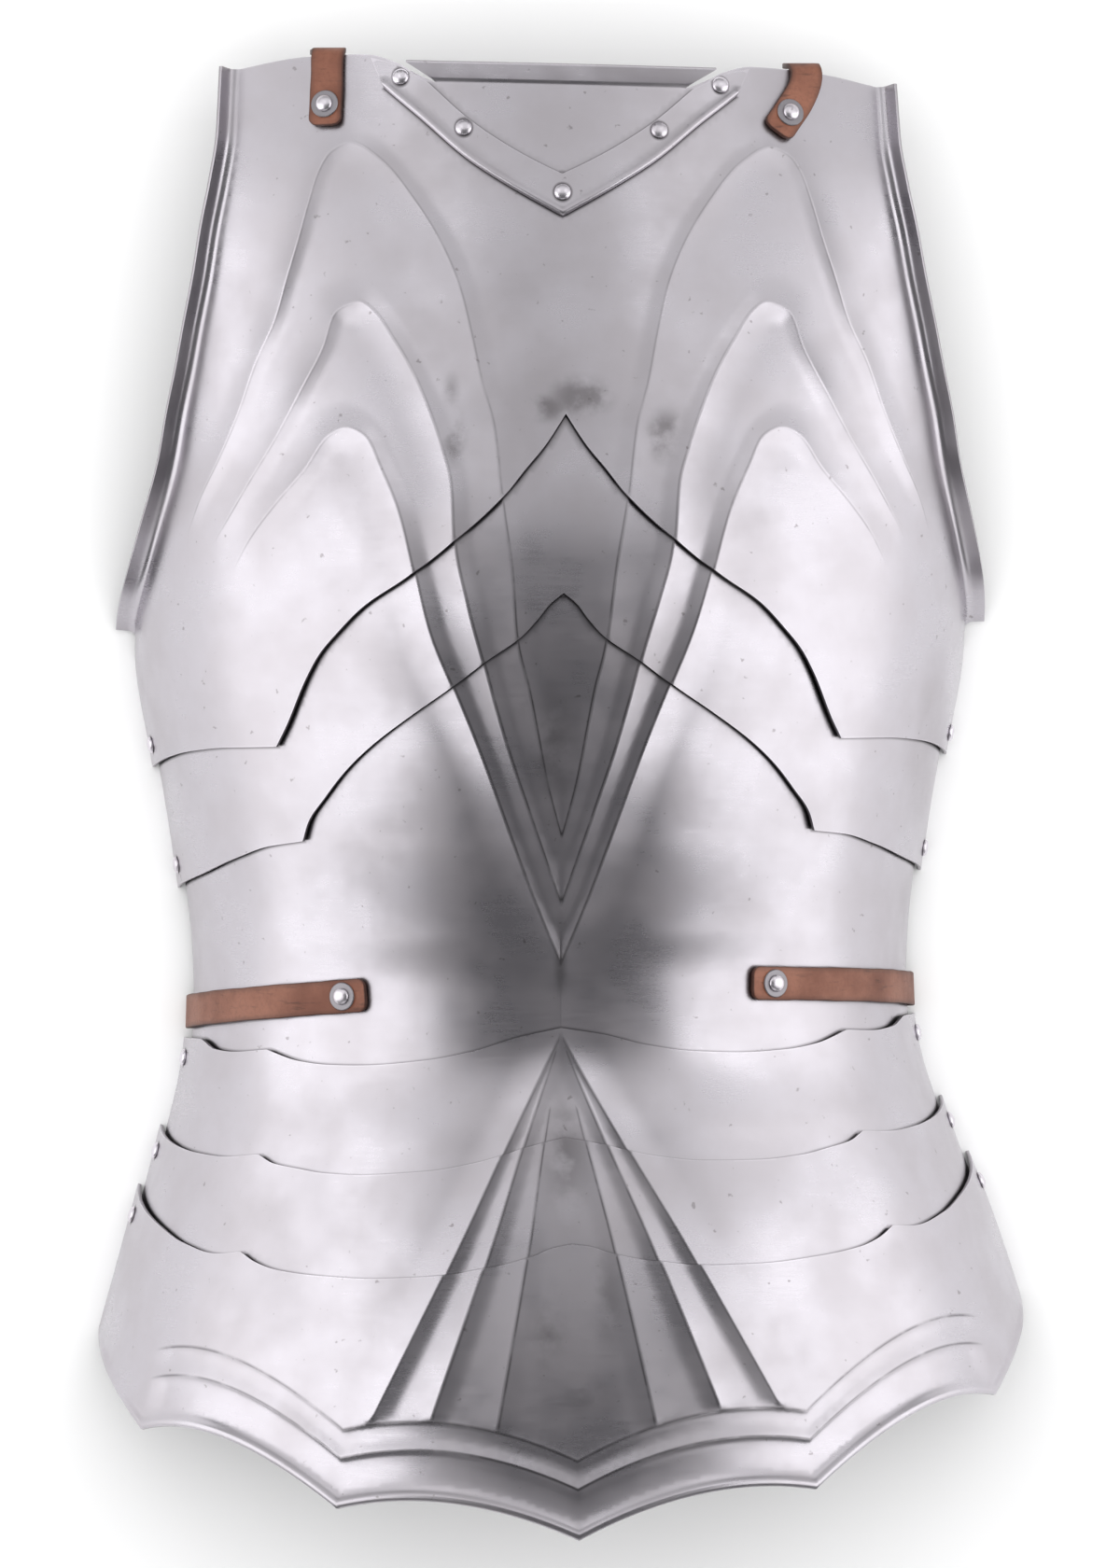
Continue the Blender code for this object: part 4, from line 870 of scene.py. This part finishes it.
def strap_section():
    """Points round a strap's rounded section, as (across, height) in metres."""
    wide, thick, soft = STRAP_WIDTH / 2, LEATHER, STRAP_SOFT
    section = []
    for side, level, start in ((1, 1, 0), (-1, 1, 90), (-1, 0, 180), (1, 0, 270)):
        for turn in (0, 30, 60, 90):
            angle = math.radians(start + turn)
            section.append((side * (wide - soft) + soft * math.cos(angle),
                            (thick - soft if level else soft) + soft * math.sin(angle)))
        if start in (0, 180):
            flat = np.linspace(0, 1, STRAP_COLUMNS + 2)[1:-1] * 2 - 1
            section += [(-side * share * (wide - soft), thick * level) for share in flat]
    return np.array(section)


def strap(node, path, normals, body):
    """A leather strap swept along a path of underside points, with rounded edges."""
    span = np.linalg.norm(np.diff(path, axis=0), axis=1)
    reach = np.concatenate(([0.0], np.cumsum(span)))
    stations = np.linspace(0, reach[-1], round(reach[-1] / STRAP_STEP) + 1)
    ease = STRAP_STEP * 0.4
    stations = np.concatenate(([0.0, ease], stations[1:-1], [reach[-1] - ease, reach[-1]]))
    to_end = np.minimum(stations, reach[-1] - stations)
    square = falling(to_end, STRAP_CORNER)
    narrow = 1 - (1 - np.sqrt(1 - square ** 2)) * STRAP_CORNER / (STRAP_WIDTH / 2)

    def read(table):
        rows = np.stack([np.interp(stations, reach, table[:, k]) for k in range(3)], axis=-1)
        for _ in range(2):
            rows[1:-1] = (rows[:-2] + 2 * rows[1:-1] + rows[2:]) / 4
        return rows

    centre, rise = read(path), unit(read(normals))
    wide = unit(np.cross(rise, np.gradient(centre, axis=0)))
    section = strap_section()
    size = len(section)
    points, edge_and_end_shadow = [], []
    ends = (0, len(centre) - 1)
    for k, (c, r, w) in enumerate(zip(centre, rise, wide)):
        trim = STRAP_END if k in ends else 1.0
        wave = narrow[k] * (1 + sum(swell * math.sin(stations[k] * rate + start)
                                    for swell, rate, start in STRAP_WAVES))
        for across, height in section:
            level = LEATHER / 2 + (height - LEATHER / 2) * trim
            points.append(c + w * across * trim * wave + r * level)
            near_side = abs(across) / (STRAP_WIDTH / 2)
            # Dark side edges of the leather, and painted shadow over both ends of the strap
            edge_and_end_shadow.append(1.0 if k in ends else near_side ** STRAP_EDGE_POWER)
    faces = []
    for k in range(len(centre) - 1):
        for j in range(size):
            i = (j + 1) % size
            faces.append((k * size + j, k * size + i, (k + 1) * size + i, (k + 1) * size + j))
    faces.append(tuple(range(size))[::-1])
    faces.append(tuple(range((len(centre) - 1) * size, len(centre) * size)))
    obj = add_mesh("leather_" + node, np.array(points), faces, body, node, LEATHER_PAINT,
                   {"edge": edge_and_end_shadow})
    work = bmesh.new()
    work.from_mesh(obj.data)
    bmesh.ops.recalc_face_normals(work, faces=work.faces)
    work.to_mesh(obj.data)
    work.free()


def riveted_strap(side, place, angle, down, lift, path, normals, body):
    """A strap with the washer and rivet that hold its end to a plate."""
    node = f"{side}_{place}_strap"
    strap(node, path, normals, body)
    top = lift + STRAP_GAP + LEATHER + FIT_GAP / 3
    seat, normal = on_body(angle, down, top), normal_at(angle, down)
    bore, high, soft = SHANK + FIT_GAP, WASHER_THICKNESS, WASHER_THICKNESS / 3
    profile = [(bore, 0.0), (WASHER - soft, 0.0), (WASHER, soft), (WASHER, high - soft),
               (WASHER - soft, high), (bore, high)]
    turned(f"steel_{node}_washer", profile, seat, normal, body, f"{node}_washer", WASHER_PAINT)
    rivet(f"{node}_rivet", angle, down, top + high, lift - PLATE, body)


def straightened(vector):
    """The unit vector without its sideways part."""
    return unit(vector * (0, 1, 1))


def shoulder_strap(side, sign):
    """From the breast up over the shoulder's edge, then down behind it."""
    rivet_across, top_across, top = SHOULDER_STRAP_LEAN[side]
    rivet_down = SHOULDER_STRAP["rivet"]
    down = np.linspace(SHOULDER_STRAP["inner"], top, 12)
    climb = (rivet_down - down) / (rivet_down - top) * math.pi / 2
    lean = (top_across - rivet_across) * np.where(climb > 0, np.sin(climb), climb)
    angle = sign * bearing(rivet_across + lean, down)
    path = on_body(angle, down, STRAP_GAP)
    normals = normal_at(angle, down)
    rise = normals[-1]
    ahead = path[-1] - path[-2]
    ahead = unit(ahead - rise * (ahead @ rise))
    centre = path[-1] - rise * STRAP_BEND
    flat_rise, flat_ahead = (straightened(vector) for vector in (rise, ahead))
    turn = math.atan2(flat_rise[2], -flat_ahead[2])
    for share in np.linspace(0.125, 1.0, 8):
        up = rise * (1 - share) + flat_rise * share
        on = ahead * (1 - share) + flat_ahead * share
        out = unit(up * math.cos(turn * share) + on * math.sin(turn * share))
        path = np.vstack((path, centre + out * STRAP_BEND))
        normals = np.vstack((normals, out))
    heading = flat_ahead * math.cos(turn) - flat_rise * math.sin(turn)
    for reach in np.linspace(SHOULDER_STRAP_HANG / 6, SHOULDER_STRAP_HANG, 6):
        path = np.vstack((path, centre + normals[-1] * STRAP_BEND + heading * reach))
        normals = np.vstack((normals, normals[-1]))
    rivet_angle = sign * float(bearing(rivet_across, rivet_down))
    riveted_strap(side, "shoulder", rivet_angle, rivet_down, 0.0, path, normals, "chest")


def waist_strap(side, sign):
    """Round the side of the waist, under the plate's back edge and inwards."""
    first = float(bearing(WAIST_STRAP["inner"], WAIST_STRAP["down"]))
    last = bearing_at(SIDE_LIFT, WAIST_STRAP["down"], WAIST_LIFT)

    def drop(angle):
        return WAIST_STRAP["down"] + WAIST_STRAP["drop"] * (angle - first) / (last - first)

    angle = np.linspace(first, last, 40)
    path = on_body(sign * angle, drop(angle), WAIST_LIFT + STRAP_GAP)
    normals = normal_at(sign * angle, drop(angle))
    edge = path[-1]
    outward = np.array((float(sign), 0.0, 0.0))
    upward = np.array((0.0, 0.0, 1.0))
    bend = edge[2] - LEATHER - FIT_GAP
    centre = edge - outward * bend
    for t in np.linspace(0.125, 1.0, 8) * math.pi / 2:
        out = outward * math.cos(t) - upward * math.sin(t)
        path = np.vstack((path, centre + out * bend))
        normals = np.vstack((normals, out))
    flat_end = path[-1]
    for reach in np.linspace(WAIST_STRAP_RETURN / 5, WAIST_STRAP_RETURN, 5):
        path = np.vstack((path, flat_end - outward * reach))
        normals = np.vstack((normals, -upward))
    rivet_angle = float(bearing(WAIST_STRAP["rivet"], WAIST_STRAP["down"]))
    riveted_strap(side, "waist", sign * rivet_angle, float(drop(rivet_angle)), WAIST_LIFT, path,
                  normals, "waist")


def model_offset(joints):
    """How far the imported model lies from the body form's own frame."""
    hinge = next(joint for joint in joints if joint["name"] == "lame_hinge")
    down = SIDE_RIVETS["breast"]
    ends = [on_body(sign * HINGE_BEARING, down, LAME_LIFT) for _, sign in SIDES]
    return np.array(hinge["pos_m"]) - sum(ends) / 2


def build():
    """Every visible piece of the cuirass."""
    breastplate()
    neck_band()
    lames()
    rivets()
    for side, sign in SIDES:
        shoulder_strap(side, sign)
        waist_strap(side, sign)


def shader(name):
    """A new material, its node tree and its main shader node."""
    material = bpy.data.materials.new(name)
    material.use_nodes = True
    tree = material.node_tree
    main = next(n for n in tree.nodes if n.type == "BSDF_PRINCIPLED")
    return material, tree, main


def feed(tree, socket, value):
    """Link another socket to this one, or set its value."""
    if isinstance(value, bpy.types.NodeSocket):
        tree.links.new(value, socket)
    else:
        socket.default_value = value


def add_node(tree, kind, settings=None, **inputs):
    """A node with settings and with inputs given as values or as other sockets."""
    node = tree.nodes.new(kind)
    for key, value in (settings or {}).items():
        setattr(node, key, value)
    for key, value in inputs.items():
        feed(tree, node.inputs[key.replace("_", " ")], value)
    return node


def noise(tree, scale, detail=4.0, stretch=(1, 1, 1), rough=0.55):
    """Noise over the object's own coordinates, stretched along its axes."""
    place = add_node(tree, "ShaderNodeTexCoord").outputs["Object"]
    spread = add_node(tree, "ShaderNodeMapping", Vector=place, Scale=stretch)
    return add_node(tree, "ShaderNodeTexNoise", Vector=spread.outputs[0], Scale=scale,
                    Detail=detail, Roughness=rough).outputs["Fac"]


def span(tree, value, low, high, bottom=0.0, top=1.0):
    """The value's range low to high, mapped to bottom to top."""
    node = add_node(tree, "ShaderNodeMapRange", {"interpolation_type": "SMOOTHSTEP"},
                    Value=value, From_Min=low, From_Max=high, To_Min=bottom, To_Max=top)
    return node.outputs["Result"]


def calc(tree, operation, first, second):
    """One sum, product or the like of two values."""
    node = add_node(tree, "ShaderNodeMath", {"operation": operation})
    feed(tree, node.inputs[0], first)
    feed(tree, node.inputs[1], second)
    return node.outputs[0]


def part(tree, value, share):
    """A share of a value."""
    return calc(tree, "MULTIPLY", value, share)


def mixed(tree, factor, first, second):
    """Two colours mixed by a factor."""
    node = tree.nodes.new("ShaderNodeMix")
    node.data_type = "RGBA"
    for index, value in ((0, factor), (6, first), (7, second)):
        feed(tree, node.inputs[index], value)
    return node.outputs[2]


def tone(tree, name):
    """One of a mesh's own tones, from 0 to 1."""
    return add_node(tree, "ShaderNodeAttribute", {"attribute_name": name}).outputs["Fac"]


def grey(value, warm=0.0):
    """A metal colour of the given brightness, mauve and a little warmer or not."""
    return (value * (1 + warm), value * 0.955, value * (1.025 - warm), 1.0)


def bumped(tree, main, *layers):
    """Bumps of (height, distance) laid over one another on the shader's normal."""
    normal = None
    for height, distance in layers:
        node = add_node(tree, "ShaderNodeBump", Height=height, Distance=distance, Strength=1.0)
        if normal is not None:
            tree.links.new(normal, node.inputs["Normal"])
        normal = node.outputs["Normal"]
    tree.links.new(normal, main.inputs["Normal"])


def steel_paint(name, base, rough):
    """Satin steel: brushed, stained and brighter on its worn crests, with painted shade in its
    creases, along its seams and round rivet heads, and dark patches of smudge and painted shade.
    """
    material, tree, main = shader(name)
    main.inputs["Metallic"].default_value = 1.0
    brushed = noise(tree, 1.0, 3.0, STEEL_BRUSH)
    cloud = noise(tree, 26.0, 6.0)
    patch = noise(tree, 11.0, 4.0, (1.0, 0.8, 1.0), 0.5)
    specks = noise(tree, 230.0, 2.0)
    colour = mixed(tree, span(tree, cloud, 0.35, 0.68), grey(base, 0.0), grey(base * 0.93, 0.01))
    stain = part(tree, span(tree, patch, 0.54, 0.74), 0.22)
    spot = part(tree, span(tree, specks, 0.70, 0.77), 0.5)
    worn = calc(tree, "MAXIMUM", tone(tree, "crest"), tone(tree, "rim"))
    bright = part(tree, span(tree, worn, 0.70, 1.0), 0.35)
    uneven = span(tree, noise(tree, 60.0, 4.0), 0.30, 0.55, 0.35, 1.0)
    broken = span(tree, noise(tree, 48.0, 5.0), 0.36, 0.58)
    # Dark patches of smudge and painted shade, broken up by noise
    smudge_and_shade = part(tree, span(tree, tone(tree, "smudge_and_shade"), 0.0, 0.75), broken)
    # Painted shade in the creases, along the seams and round the rivet heads, mixed towards near black
    crease = part(tree, tone(tree, "crease"), part(tree, uneven, 0.85))
    crease_and_seam_shade = calc(tree, "MAXIMUM", crease, part(tree, tone(tree, "seam"), 0.9))
    behind = tone(tree, "inside")
    for amount, share, warm in (
            (stain, 0.55, 0.03), (spot, 0.30, 0.08), (bright, 1.30, 0.0),
            (part(tree, smudge_and_shade, 0.75), 0.34, 0.03), (crease_and_seam_shade, 0.12, 0.04),
            (part(tree, behind, 0.75), 0.34, 0.04)):
        colour = mixed(tree, amount, colour, grey(min(base * share, BRIGHTEST), warm))
    tree.links.new(colour, main.inputs["Base Color"])
    for value, share in ((span(tree, cloud, 0.3, 0.7), 0.10), (brushed, 0.08), (stain, 0.25),
                         (behind, 0.22), (bright, -0.10)):
        rough = calc(tree, "ADD", part(tree, value, share), rough)
    tree.links.new(rough, main.inputs["Roughness"])
    bumped(tree, main, (noise(tree, 24.0, 2.0), 0.00012), (brushed, 0.000003))
    return material


def leather_paint(name):
    """Red-brown strap leather with a grain, creases and dark edges, and painted shadow over the strap
    ends.
    """
    material, tree, main = shader(name)
    cloud = noise(tree, 34.0, 5.0)
    grain = noise(tree, 620.0, 3.0)
    crease = noise(tree, 1.0, 4.0, (90.0, 520.0, 90.0))
    colour = mixed(tree, span(tree, cloud, 0.32, 0.70), LEATHER_LIGHT, LEATHER_DARK)
    colour = mixed(tree, part(tree, span(tree, grain, 0.45, 0.70), 0.35), colour,
                   LEATHER_DARK)
    colour = mixed(tree, part(tree, span(tree, crease, 0.58, 0.74), 0.5), colour,
                   LEATHER_EDGE)
    # The edge tone darkens the strap's sides and paints shadow over its ends
    colour = mixed(tree, part(tree, tone(tree, "edge"), 0.85), colour, LEATHER_EDGE)
    tree.links.new(colour, main.inputs["Base Color"])
    tree.links.new(span(tree, cloud, 0.3, 0.7, 0.5, 0.68), main.inputs["Roughness"])
    bumped(tree, main, (grain, 0.00012), (crease, 0.0002), (cloud, 0.0003))
    return material


def floor():
    """The plain pale floor that the cuirass lies on."""
    half = FLOOR_HALF
    mesh = bpy.data.meshes.new("floor")
    mesh.from_pydata([(-half, -half, 0), (half, -half, 0), (half, half, 0), (-half, half, 0)],
                     [], [(0, 1, 2, 3)])
    material, tree, main = shader("floor_paint")
    colour = mixed(tree, noise(tree, 3.0), FLOOR_LIGHT, FLOOR_SHADE)
    tree.links.new(colour, main.inputs["Base Color"])
    main.inputs["Roughness"].default_value = 0.9
    main.inputs["Specular IOR Level"].default_value = 0.1
    mesh.materials.append(material)
    placed("floor", mesh)


def softbox(name, place, aim, size, glow, in_metal):
    """A soft rectangular lamp at a place, turned to an aim."""
    lamp = bpy.data.lights.new(name, "AREA")
    lamp.shape = "RECTANGLE"
    lamp.size, lamp.size_y = size
    lamp.energy = glow * math.pi * size[0] * size[1]
    obj = placed(name, lamp)
    obj.location = place
    obj.rotation_euler = (Vector(aim) - Vector(place)).to_track_quat("-Z", "Y").to_euler()
    obj.visible_glossy = in_metal
    obj.visible_camera = False


def studio():
    """Floor, soft light and the camera at the photograph's angle."""
    floor()
    world = bpy.data.worlds.new("studio")
    world.use_nodes = True
    back = next(n for n in world.node_tree.nodes if n.type == "BACKGROUND")
    back.inputs["Color"].default_value = WORLD_COLOUR
    back.inputs["Strength"].default_value = WORLD_STRENGTH
    bpy.context.scene.world = world
    for row in LAMPS:
        softbox(*row)
    lens = bpy.data.cameras.new("camera")
    lens.sensor_fit = "VERTICAL"
    lens.sensor_height = SENSOR
    lens.lens = SENSOR * CAMERA_DISTANCE / PHOTO_HEIGHT_M
    lens.clip_end = 2 * CAMERA_DISTANCE
    camera = placed("camera", lens)
    away = Vector((-math.sin(CAMERA_YAW), 0.0, math.cos(CAMERA_YAW)))
    camera.location = CAMERA_AIM + away * CAMERA_DISTANCE
    camera.rotation_euler = Euler((0.0, -CAMERA_YAW, 0.0))
    bpy.context.scene.camera = camera
    bpy.context.scene.view_settings.view_transform = "Standard"


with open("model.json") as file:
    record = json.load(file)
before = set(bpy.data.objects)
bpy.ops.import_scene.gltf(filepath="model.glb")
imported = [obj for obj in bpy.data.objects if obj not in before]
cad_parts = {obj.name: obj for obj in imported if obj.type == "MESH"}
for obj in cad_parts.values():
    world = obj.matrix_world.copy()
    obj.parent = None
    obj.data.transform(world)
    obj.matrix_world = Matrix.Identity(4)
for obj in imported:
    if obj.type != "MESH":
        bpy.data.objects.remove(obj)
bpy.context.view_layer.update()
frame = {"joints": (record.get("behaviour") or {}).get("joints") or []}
SIDE_RIVETS = {place: side_rivet_height(place) for place in SIDE_EDGES}
PLACE = np.zeros(3)
PLACE = model_offset(frame["joints"])
# Each crest's second number is the strength of the painted shade along its crease
CHEST_FLUTES = [Flute(*row) for row in ((CREST_1, 1.0), (CREST_2, 0.9), (CREST_3, 0.8), (KEEL, 0.5))]
FAULD_FLUTES = [Flute(fan_rows(*fan), painted_shade) for fan, painted_shade in zip(FANS, FAN_CREASE_SHADE)]
STEEL_PAINT = steel_paint("steel_paint", STEEL_TONE, STEEL_ROUGHNESS)
RIVET_PAINT = steel_paint("rivet_paint", RIVET_TONE, RIVET_ROUGHNESS)
WASHER_PAINT = steel_paint("washer_paint", WASHER_TONE, WASHER_ROUGHNESS)
LEATHER_PAINT = leather_paint("leather_paint")
build()
studio()
